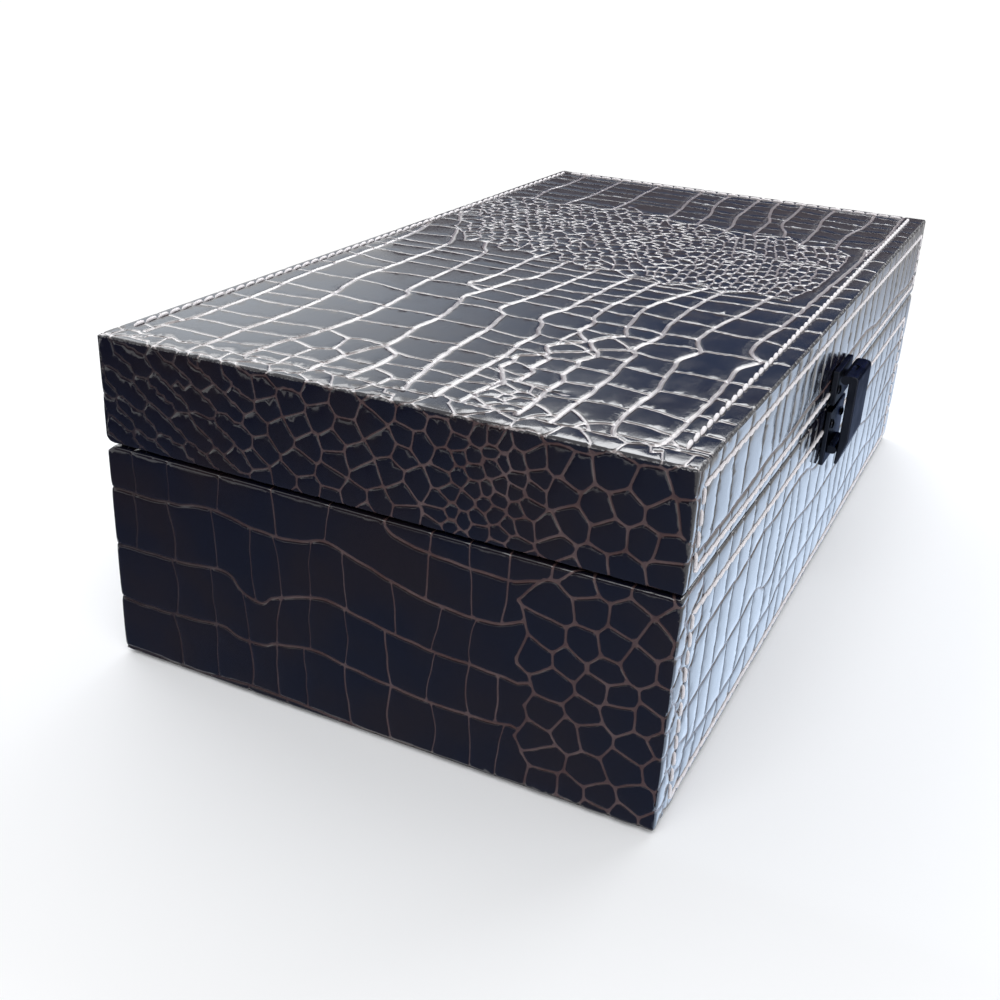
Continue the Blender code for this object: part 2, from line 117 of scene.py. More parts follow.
# Spacing of the mesh's points, and their distances from the rim and from the creases' middles
station = 1.25
dense = 0.3
fill_pitch = 3.2
rim_pitch = 0.9
side_shares = {"main": (0.45, 0.85, 1.25, 2.3), "cross": (0.7, 1.3, 2.8), "fine": (0.6, 1.2, 2.4),
               "knot": ()}
near_share = 0.84
merge_cell = 0.4
rim_gaps = {"crease": 0.45, "side": 0.4, "guide": 0.2, "fill": 1.2}
middle_gaps = {"seam": 0.5, "any": 0.15, "fill": 1.9}

# Top edge's roll, and how far the visible edges close the gap between lid and body
edge_drop = 0.3
edge_reach = 1.3
gap_closing = 0.2
parting_calm = 0.7
calm_sides = (0.4, 2.4)

# The creases of the lid's left end run on over its upper edge, up to a band on the top
arris_level = lid_high.z + wall_top_rise
band = 8.4
band_foot = 3
band_end = 12

# Stitching: the seams' lines on the maps, and the thread
top_seams = [
    [(11, 6.8), (box_length - 6, 6.8)],
    [(11, box_depth - 3.6), (box_length - 6, box_depth - 3.6)],
    [(box_length - 6, 10), (box_length - 6, box_depth - 7)],
]
lid_seam = [(6.5, 99.3), (box_length - 6.5, 99.3), (box_length - 6.5, 76.3), (6.5, 76.3), (6.5, 99.3)]
body_seam = [(11, 62.5), (box_length - 11, 62.5), (box_length - 11, 4.8), (11, 4.8), (11, 62.5)]
thread_radius = 0.6
stitch_length = 5.2
stitch_pitch = 5.3
stitch_slant = math.radians(7)
stitch_lift = 0.38
thread_sides = 8
stitch_rings = 9

# The velvet pads: how much smaller they start, how far they may swell, and the simulation
pad_inset = 0.8
pad_swell = 1.8
pad_voxel = 2.2
pad_pressure = 4.0
pad_frames = 20

# Where each wall starts on the map that runs round the box, and how it is turned
wall_starts = {"left": -box_depth, "front": 0, "right": box_length, "rear": box_length + box_depth}
turns = {"front": 0, "right": math.pi / 2, "rear": math.pi, "left": -math.pi / 2}

# The maps that run round the walls begin and end at the rear left corner
map_start = -box_depth
map_end = box_length * 2 + box_depth

# The photograph's viewpoint, worked out from the box's corners
camera_place = (-0.4162, -0.1563, 0.2150)
camera_aim = (24.945, -25.044)
camera_roll = 3.087
camera_lens = 44.14

# The room: fill light, where the floor turns plain white, and the height that lamps and cards face
fill_strength = 0.3
white_from = (0.15, 0.42)
box_middle = 0.05


def smooth_step(low, high, value):
    share = np.clip((value - low) / (high - low), 0, 1)
    return share * share * (3 - 2 * share)


def curve_through(knots, step=station):
    """Points about a step apart on a smooth curve through given points."""
    knots = np.array(knots, float)
    guides = np.vstack([2 * knots[0] - knots[1], knots, 2 * knots[-1] - knots[-2]])
    found = []
    for before, start, end, after in zip(guides, guides[1:], guides[2:], guides[3:]):
        count = max(1, round(np.linalg.norm(end - start) / step))
        t = np.linspace(0, 1, count, endpoint=False)[:, None]
        bend = 2 * before - 5 * start + 4 * end - after
        found.append(start + t / 2 * (end - before + t * (bend + t * (3 * (start - end) + after - before))))
    found.append(knots[-1:])
    return np.vstack(found)


def divided(line, pitch):
    """The same line with points at most a pitch apart."""
    if len(line) == 1:
        return line
    found = []
    for start, end in zip(line, line[1:]):
        count = max(1, math.ceil(np.linalg.norm(end - start) / pitch))
        found.append(start + (end - start) * np.linspace(0, 1, count, endpoint=False)[:, None])
    return np.vstack([*found, line[-1:]])


def beside_line(line, offset):
    """Points at a distance from each point of a line, on its two sides."""
    along = np.gradient(line, axis=0)
    along /= np.linalg.norm(along, axis=1)[:, None] + 1e-9
    side = np.stack([-along[:, 1], along[:, 0]], 1)
    return np.vstack([line + side * offset, line - side * offset])


def stretches(line, keep):
    """The parts of a line whose points are kept."""
    marks = np.flatnonzero(np.diff(np.concatenate([[0], keep.astype(int), [0]])))
    return [line[start:end] for start, end in marks.reshape(-1, 2) if end - start > 1]


def thinned(line):
    """A line of close points with only some of them kept, about a station apart."""
    length = np.linalg.norm(np.diff(line, axis=0), axis=1).sum()
    count = max(2, round(length / station) + 1)
    return line[np.unique(np.round(np.linspace(0, len(line) - 1, count)).astype(int))]


def inside(outline, points):
    """Which points lie inside a closed outline."""
    found = np.zeros(len(points), bool)
    for (s1, v1), (s2, v2) in zip(outline, np.roll(outline, -1, axis=0)):
        if v1 != v2:
            spans = (points[:, 1] > v1) != (points[:, 1] > v2)
            found ^= spans & (points[:, 0] < s1 + (points[:, 1] - v1) * (s2 - s1) / (v2 - v1))
    return found


def inside_any(outlines, points):
    found = np.zeros(len(points), bool)
    for outline in outlines:
        found |= inside(outline, points)
    return found


def tree_of(points):
    tree = KDTree(len(points))
    for index, (s, v) in enumerate(points):
        tree.insert((s, v, 0), index)
    tree.balance()
    return tree


def nearest_in(tree, points):
    """Distance and number of the tree's nearest entry, for each point."""
    found = [tree.find((s, v, 0)) for s, v in points]
    return np.array([hit[2] for hit in found]), np.array([hit[1] for hit in found], int)


def circle_centre(a, b, c):
    """Centre of the circle through three points."""
    ab, ac = b - a, c - a
    cross = 2 * (ab.x * ac.y - ab.y * ac.x) or 1e-9
    s = (ac.y * ab.length_squared - ab.y * ac.length_squared) / cross
    v = (ab.x * ac.length_squared - ac.x * ab.length_squared) / cross
    return np.array([a.x + s, a.y + v])


def wavy(point):
    """A point moved a little, so that no crease runs dead straight."""
    shift = noise.noise_vector((point[0] / wave_length, point[1] / wave_length, 3.7)) * wave_height
    return point + (shift.x, shift.y)


def along_map(places, v):
    """A line of points at one height of a map."""
    return np.column_stack([places, np.full(len(places), v)])


def up_map(s, places):
    """A line of points up a map at one place."""
    return np.column_stack([np.full(len(places), s), places])


class Zone:
    """A patch of small scales: outline, pitch along and across its rows, tilt, strength, unevenness."""

    def __init__(self, outline, along, across, tilt, strength, jitter_share):
        self.outline = np.array(outline, float)
        self.pitch = np.array([along, across], float)
        self.tilt = math.radians(tilt)
        self.strength = strength
        self.jitter_share = jitter_share
        self.rim = divided(np.vstack([self.outline, self.outline[:1]]), zone_rim_pitch)

    def seeds(self):
        """Uneven places, several to a long scale, the scale of each, and mirror images past the outline."""
        low, high = self.outline.min(0), self.outline.max(0)
        reach = np.linalg.norm(high - low) / 2 + self.pitch.max()
        counts = [math.ceil(reach / size) for size in self.pitch]
        grids = np.meshgrid(*(np.arange(-count, count + 1) for count in counts))
        column, row = (grid.ravel() for grid in grids)
        points = np.stack([column + (row % 2) / 2, row], 1)
        points = (points + chance.uniform(-1, 1, points.shape) * self.jitter_share) * self.pitch
        count = max(1, round(places_share * (self.pitch[0] / self.pitch[1] - 1)))
        spread = np.linspace(-0.5, 0.5, count) if count > 1 else np.zeros(1)
        points = (points[:, None] + along_map(spread * spread_share * self.pitch[0], 0)).reshape(-1, 2)
        scales = np.repeat(np.arange(len(column)), count)
        c, s = math.cos(self.tilt), math.sin(self.tilt)
        points = points @ np.array([[c, s], [-s, c]]) + (low + high) / 2
        within = inside(self.outline, points)
        points, scales = points[within], scales[within]
        gaps, nearest = nearest_in(tree_of(self.rim), points)
        mirrored = 2 * self.rim[nearest] - points
        clear = gaps > rim_share * self.pitch.min()
        return points[clear], scales[clear], mirrored[clear & (gaps < mirror_share * self.pitch.max())]


class Pattern:
    """The creases of one piece of hide, as lines on a flat map, each with a strength."""

    def __init__(self, zones, crown, taken=(), brushed=0):
        self.lines = {kind: [] for kind in creases}
        self.crown = crown
        self.taken = taken
        self.brushed = brushed
        self.patches = [zone.outline for zone in zones]
        self.rims = tree_of(np.vstack([zone.rim for zone in zones]))
        self.scatter(zones)
        self.borders = np.vstack([line for line, _ in self.lines["fine"]])
        self.border_tree = tree_of(self.borders)

    def scatter(self, zones):
        """Small scales: the creases lie midway between the scales' places."""
        outlines = self.patches
        real, beyond, strengths, owners = [], [], [], []
        for index, zone in enumerate(zones):
            points, scales, mirrored = zone.seeds()
            free = ~inside_any(outlines[:index], points)
            if real:
                free &= nearest_in(tree_of(real), points)[0] > apart_share * zone.pitch.min()
            real += list(points[free])
            strengths += [zone.strength] * int(free.sum())
            owners += [(index, scale) for scale in scales[free]]
            beyond += list(mirrored[~inside_any(outlines, mirrored)])
        owners += [None] * len(beyond)
        places = [tuple(place) for place in real + beyond]
        corners, _, faces, origins, _, _ = delaunay_2d_cdt(places, [], [[]], 0, 1e-6)
        origin = [source[0] for source in origins]
        centres = [circle_centre(*(corners[corner] for corner in face)) for face in faces]
        beside = {}
        for number, face in enumerate(faces):
            for start, end in zip(face, face[1:] + face[:1]):
                beside.setdefault(frozenset((origin[start], origin[end])), []).append(number)
        knots = {}
        for pair, numbers in beside.items():
            if len(numbers) == 2 and min(pair) < len(real) and owners[min(pair)] != owners[max(pair)]:
                start, end = (centres[number] for number in numbers)
                length = np.linalg.norm(end - start)
                strength = strengths[min(pair)]
                if length < longest_crease:
                    knots.update((number, strength) for number in numbers)
                    count = max(1, round(length / station))
                    line = start + (end - start) * np.linspace(0, 1, count + 1)[:, None]
                    self.add("fine", line, strength, True)
        for number, strength in sorted(knots.items()):
            if not inside_any(self.taken, centres[number][None])[0]:
                self.lines["knot"].append((centres[number][None], strength))

    def add(self, kind, line, strength=1.0, in_patch=False):
        """Adds a line's free stretches: the small scales' creases lie in patches, and others outside."""
        close = divided(line, dense)
        within = inside_any(self.patches, close)
        if in_patch:
            within |= nearest_in(self.rims, close)[0] < rim_overlap
        free = (within == in_patch) & ~inside_any(self.taken, close)
        for stretch in stretches(close, free):
            stretch = thinned(stretch)
            self.lines[kind].append((stretch if in_patch else self.joined(stretch), strength))

    def joined(self, stretch):
        """A stretch that was cut off at a patch, carried on to the nearest crease of the small scales."""
        for end in (0, -1):
            rim_gap = nearest_in(self.rims, stretch[[end]])[0][0]
            gap, number = (found[0] for found in nearest_in(self.border_tree, stretch[[end]]))
            if rim_gap < cut_gap and joined_gap < gap < join_reach:
                link = divided(np.array([self.borders[number], stretch[end]]), station)[:-1]
                stretch = np.vstack([link, stretch] if end == 0 else [stretch, link[::-1]])
        return stretch

    def row(self, knots, kind="main", strength=1.0):
        line = curve_through(knots)
        self.add(kind, line, strength)
        return line

    def rungs(self, upper, lower, places, strength=1.0, lean=0.8, sway=0.6):
        """Cross creases between two rows, each at a place along the map."""
        for place in places:
            tilt = chance.normal(0, lean)
            top = upper[np.argmin(abs(upper[:, 0] - place - tilt))]
            foot = lower[np.argmin(abs(lower[:, 0] - place + tilt))]
            middle = (top + foot) / 2 + (chance.normal(0, sway), 0)
            line = curve_through([top, middle, foot])
            self.add("cross", line, strength * chance.uniform(*rung_strengths))

    def rung_run(self, upper, lower, start, end, pitch, strength=1.0):
        """Cross creases at a slightly uneven pitch."""
        count = max(1, round((end - start) / pitch))
        places = start + (np.arange(count) + 0.5) * (end - start) / count
        self.rungs(upper, lower, places + chance.normal(0, rung_spread_share * pitch, count), strength)

    def finish(self, seams, shared=None):
        """Makes the lines slightly wavy, and gathers them with the seams and any shared creases."""
        self.trees = {}
        for kind, lines in self.lines.items():
            lines = [(np.array([wavy(point) for point in line]), strength) for line, strength in lines]
            lines += shared[kind] if shared else []
            self.lines[kind] = lines
            if lines:
                close = [divided(line, dense) for line, _ in lines]
                strengths = [np.full(len(line), strength) for line, (_, strength) in zip(close, lines)]
                close = np.vstack(close)
                self.trees[kind] = tree_of(close), np.concatenate(strengths), close
        self.seams = [divided(np.array(line, float), station) for line in seams]
        self.seam_tree = tree_of(np.vstack([divided(line, dense) for line in self.seams]))

    def nearest(self, points):
        return np.min([nearest_in(tree, points)[0] for tree, _, _ in self.trees.values()], axis=0)

    def relief(self, points):
        """Height of the surface, and distances past the nearest crease's edge and behind a main crease."""
        depth = np.zeros(len(points))
        edge = np.full(len(points), far_off)
        main = np.full(len(points), far_off)
        for kind, (tree, strengths, close) in self.trees.items():
            distance, number = nearest_in(tree, points)
            strength = strengths[number]
            half, deep = creases[kind][0] * strength, creases[kind][1] * strength
            floor, lip = crease_sides[:, None] * half
            depth = np.maximum(depth, deep * (1 - smooth_step(floor, lip, distance)))
            edge = np.minimum(edge, distance - half + thin_edge * np.maximum(1 - strength, 0))
            if kind == "main" and self.brushed:
                main = np.where(points[:, 1] > close[number, 1], distance - half, main)
        height = self.crown * (1 - np.exp(-np.maximum(edge, 0) / crown_reach)) - depth
        distance = nearest_in(self.seam_tree, points)[0]
        height -= seam_depth * (1 - smooth_step(*seam_sides * seam_half, distance))
        return height, edge, main


def triangulate(pattern, outline, guides):
    """Triangles over an outline, with their edges along the creases."""
    rim = divided(np.vstack([outline, outline[:1]]), rim_pitch)[:-1]
    rim_tree = tree_of(rim)
    low, high = rim.min(0), rim.max(0)

    def usable(points, gap):
        near = np.all((points > low) & (points < high), axis=1)
        near[near] = inside(rim, points[near])
        near[near] = nearest_in(rim_tree, points[near])[0] > gap
        return near

    centres, links = [], []
    first = len(rim)
    for line in (line for lines in pattern.lines.values() for line, _ in lines):
        keep = usable(line, rim_gaps["crease"])
        numbers = np.cumsum(keep) - 1 + first
        both = keep[:-1] & keep[1:]
        links += list(zip(numbers[:-1][both].tolist(), numbers[1:][both].tolist()))
        centres.append(line[keep])
        first += int(keep.sum())
    centres = np.vstack(centres)
    centre_tree = tree_of(centres)
    extra = [guide[usable(guide, rim_gaps["guide"])] for guide in guides]
    for kind, lines in pattern.lines.items():
        for share in side_shares[kind] if lines else ():
            offsets = [creases[kind][0] * share * strength for _, strength in lines]
            points = [beside_line(line, offset) for (line, _), offset in zip(lines, offsets)]
            offsets = np.concatenate([np.full(len(line), offset) for line, offset in zip(points, offsets)])
            points = np.vstack(points)
            keep = usable(points, rim_gaps["side"])
            points = points[keep]
            extra.append(points[pattern.nearest(points) > near_share * offsets[keep]])
    for seam in pattern.seams:
        for offset in seam_lines:
            points = beside_line(seam, offset) if offset else seam
            points = points[usable(points, rim_gaps["side"])]
            extra.append(points[nearest_in(centre_tree, points)[0] > middle_gaps["seam"]])
    across = fill_pitch * math.sqrt(3) / 2
    columns, rows = np.meshgrid(np.arange(low[0], high[0], fill_pitch), np.arange(low[1], high[1], across))
    shift = (np.arange(len(rows)) % 2)[:, None] * fill_pitch / 2
    grid = np.stack([(columns + shift).ravel(), rows.ravel()], 1)
    grid = grid[usable(grid, rim_gaps["fill"])]
    extra.append(grid[pattern.nearest(grid) > middle_gaps["fill"]])
    extra = np.vstack(extra)
    extra = extra[nearest_in(centre_tree, extra)[0] > middle_gaps["any"]]
    _, kept = np.unique(np.round(extra / merge_cell), axis=0, return_index=True)
    everything = np.vstack([rim, centres, extra[np.sort(kept)]]).tolist()
    border = [list(range(len(rim)))]
    corners, _, faces, _, _, _ = delaunay_2d_cdt(everything, links, border, 1, 1e-5, False)
    return np.array([tuple(corner) for corner in corners]), np.array(faces)


def border_loop(faces):
    """The corners round the edge of a sheet of triangles, in order."""
    starts, ends = faces.ravel(), np.roll(faces, -1, axis=1).ravel()
    size = int(faces.max()) + 1
    lonely = ~np.isin(starts * size + ends, ends * size + starts)
    following = dict(zip(starts[lonely].tolist(), ends[lonely].tolist()))
    loop = [min(following)]
    while following[loop[-1]] != loop[0]:
        loop.append(following[loop[-1]])
    return loop


def add_object(name, data):
    made = bpy.data.objects.new(name, data)
    bpy.context.scene.collection.objects.link(made)
    return made


def add_shape(name, points, polygons):
    """A smooth-shaded object, from points in millimetres."""
    mesh = bpy.data.meshes.new(name)
    mesh.from_pydata((points * mm).tolist(), [], polygons)
    mesh.shade_smooth()
    return add_object(name, mesh)


def dress(piece, body, material):
    piece.data.materials.append(material)
    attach(piece, body)


def leather_piece(name, body, pattern, surface):
    """A closed skin: the embossed face, a plain back, and the cut edge between them."""
    guides = surface.guides()
    face_points, faces = triangulate(pattern, surface.outline(), guides)
    height, edge, main = pattern.relief(face_points)
    loop = border_loop(faces)
    rim = face_points[loop]
    back = np.vstack([rim, *(guide[::3][inside(rim, guide[::3])] for guide in guides)])
    border = [list(range(len(loop)))]
    corners, _, back_faces, origins, _, _ = delaunay_2d_cdt(back.tolist(), [], border, 1, 1e-6)
    back_points = np.array([tuple(corner) for corner in corners])
    first = len(face_points)
    under = {source: first + index for index, sources in enumerate(origins) for source in sources}
    polygons = faces.tolist() + [[first + corner for corner in face[::-1]] for face in back_faces]
    for here in range(len(loop)):
        after = (here + 1) % len(loop)
        polygons.append([loop[here], under[here], under[after], loop[after]])
    sunk = np.full(len(back_points), -leather)
    points = np.vstack([surface.place(face_points, height), surface.place(back_points, sunk)])
    piece = add_shape(name + "_skin", points, polygons)
    piece.data.set_sharp_from_angle(angle=math.radians(70))
    flat = np.vstack([face_points, back_points])
    hide = np.column_stack([flat, np.full(len(flat), pattern.brushed)])
    add_mark = piece.data.attributes.new
    add_mark("hide", "FLOAT_VECTOR", "POINT").data.foreach_set("vector", hide.ravel())
    for mark, values in (("edge", edge), ("main", main)):
        values = np.append(values, np.full(len(back_points), far_off / 2))
        add_mark(mark, "FLOAT", "POINT").data.foreach_set("value", values)
    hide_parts(name)
    dress(piece, body, leather_finish)


def outward(step):
    """The normal on the left of a step: the section runs upward with the outside on its left."""
    step = step / np.linalg.norm(step)
    return np.array([-step[1], step[0]])


class Wall:
    """A wall's skin: a map of (s, v) folded along the wall's section and cut at its mitres."""

    def __init__(self, side, lid):
        self.side = side
        long_wall = side in ("front", "rear")
        self.across = (box_depth if long_wall else box_length) / 2
        self.half = (box_length if long_wall else box_depth) / 2
        self.lid = lid
        self.start = wall_starts[side]
        self.parting = lid_low.z if lid else body_high.z
        self.read_section(self.section())

    def section(self):
        """Outer line from the lowest fold to the highest, as (depth from the outside, height)."""
        rear = self.side == "rear"
        if self.lid:
            low, high = lid_low.z - (0 if rear else gap_closing), lid_high.z + wall_top_rise
            edge = [(groove_depth, low), (0, low + groove_drop)] if rear else [(0, low)]
            return [(fold_in, low), *edge, (0, high)]
        low, high = body_low.z, body_high.z + (0 if rear else gap_closing)
        edge = [(0, high - groove_drop), (groove_depth, high)] if rear else [(0, high)]
        return [(turn_under, low), (0, low), *edge, (fold_in, high)]

    def read_section(self, section):
        """Points and outward normals along the section, with its corners rounded."""
        corners = np.array(section, float)
        line = [corners[0]]
        facing = [outward(corners[1] - corners[0])]
        arcs = []
        for before, corner, after in zip(corners, corners[1:], corners[2:]):
            first, last = outward(corner - before), outward(after - corner)
            turn = math.acos(first @ last)
            centre = corner - (first + last) / (first + last).dot(first) * fold_radius
            for step in range(fold_steps + 1):
                share = step / fold_steps
                normal = first * math.sin((1 - share) * turn) + last * math.sin(share * turn)
                normal /= np.linalg.norm(normal)
                line.append(centre + normal * fold_radius)
                facing.append(normal)
                arcs.append(len(line) - 1)
        line.append(corners[-1])
        facing.append(outward(corners[-1] - corners[-2]))
        self.line = np.array(line)
        self.facing = np.array(facing)
        steps = np.linalg.norm(np.diff(self.line, axis=0), axis=1)
        self.run = np.concatenate([[0], np.cumsum(steps)])
        face = int(np.argmax(self.line[:, 0] < 1e-6))
        self.run += self.line[face, 1] - self.run[face]
        self.fold_levels = self.run[arcs]

    def reach(self, v, hand):
        """How far the skin runs along the wall towards one of its ends."""
        depth = np.interp(v, self.run, self.line[:, 0])
        cut = np.maximum(depth, corner_cut)
        rear_hand = {"left": -1, "right": 1}.get(self.side)
        if hand == rear_hand:
            level = np.interp(v, self.run, self.line[:, 1])
            groove = groove_depth * (1 - np.abs(level - self.parting) / groove_drop)
            cut = np.maximum(cut, groove)
        return self.half - cut

    def outline(self):
        levels = np.unique(np.concatenate([self.run, np.arange(self.run[0], self.run[-1], level_step)]))
        right = [(self.reach(v, 1), v) for v in levels]
        left = [(-self.reach(v, -1), v) for v in levels[::-1]]
        rim = []
        if self.side == "rear":
            drop = notch_drop + 2 * groove_drop
            edge = self.run[0] if self.lid else self.run[-1]
            face = self.parting + (drop if self.lid else -drop)
            for middle in hinge_places:
                ends = [middle - notch_half, middle + notch_half]
                rim += [(ends[0], edge), (ends[0], face), (ends[1], face), (ends[1], edge)]
        flat = [*right, *rim[::-1], *left] if not self.lid else [*rim, *right, *left]
        return np.array([(u + self.start + self.half, v) for u, v in flat])

    def guides(self):
        """Lines of points that carry the folds and the rounded corners."""
        end = self.start + 2 * self.half
        along = np.arange(self.start + 0.7, end, station)
        rows = [along_map(along, v) for v in self.fold_levels[::2]]
        up = np.arange(self.run[0] + 0.6, self.run[-1], station)
        for near in (corner_radius * share for share in corner_shares):
            rows += [up_map(s, up) for s in (self.start + near, end - near)]
        return rows

    def place(self, points, height):
        """Points in space for points on the map, at a height over the skin's face."""
        near_parting = 1 - smooth_step(*calm_sides, np.abs(points[:, 1] - self.parting))
        height = np.where(height > -leather, height * (1 - parting_calm * near_parting), height)
        u = points[:, 0] - self.start - self.half
        depth, level = (np.interp(points[:, 1], self.run, self.line[:, axis]) for axis in (0, 1))
        deep, rise = (np.interp(points[:, 1], self.run, self.facing[:, axis]) for axis in (0, 1))
        lean = np.clip(1 - (self.half - np.abs(u)) / corner_radius, 0, 1)
        upright = np.sqrt(1 - lean**2)
        depth = depth + corner_radius * (1 - upright) * np.clip(1 - depth / corner_radius, 0, 1)
        x = u + height * np.sign(u) * lean * np.abs(deep)
        y = depth - self.across + height * deep * upright
        z = level + height * rise
        c, s = math.cos(turns[self.side]), math.sin(turns[self.side])
        return np.column_stack([x * c - y * s, x * s + y * c, z])


class Top:
    """The lid's top skin: a flat map with its edge rounded over."""

    def outline(self):
        corners = []
        ends = [(box_length, box_depth), (0, box_depth), (0, 0), (box_length, 0)]
        for index, corner in enumerate(ends):
            centre = np.abs(np.array(corner) - top_corner_radius)
            for angle in math.pi / 2 * (index + np.arange(fold_steps + 1) / fold_steps):
                corners.append(centre + top_corner_radius * np.array([math.cos(angle), math.sin(angle)]))
        return np.array(corners)

    def guides(self):
        rows = []
        up, along = (np.arange(0.5, size, station) for size in (box_depth, box_length))
        for near in (top_edge_radius * share for share in top_edge_shares):
            rows += [up_map(s, up) for s in (near, box_length - near)]
            rows += [along_map(along, v) for v in (near, box_depth - near)]
        return rows

    def place(self, points, height):
        half = np.array([box_length, box_depth]) / 2
        flat = points - half
        past = np.maximum(np.abs(flat) - (half - top_corner_radius), 0)
        rim = np.linalg.norm(past, axis=1)
        lean = np.clip((rim - top_corner_radius + top_edge_radius) / top_edge_radius, 0, 1)
        upright = np.sqrt(1 - lean**2)
        out = np.sign(flat) * past / np.maximum(rim, 1e-9)[:, None] * lean[:, None]
        from_edge = np.min(half - np.abs(flat), axis=1)
        roll = edge_drop * np.exp(-np.maximum(from_edge, 0) / edge_reach)
        level = top_high.z - roll - top_edge_radius * (1 - upright) + height * upright
        return np.column_stack([flat + out * height[:, None], level])


def straight(start, end, v):
    """A level guide line, for cross creases that run out over an edge."""
    return along_map(np.arange(start, end, station), v)


def turned_over(pattern):
    """Creases that turn over the upper edge of the lid's left end, on the map of the top."""
    found = {}
    for kind, lines in pattern.lines.items():
        over = [(line, strength) for line, strength in lines
                if line[:, 1].max() > arris_level - band_foot and line[0, 0] < band_end]
        found[kind] = [(np.column_stack([line[:, 1] - arris_level, -line[:, 0]]), strength)
                       for line, strength in over]
    return found


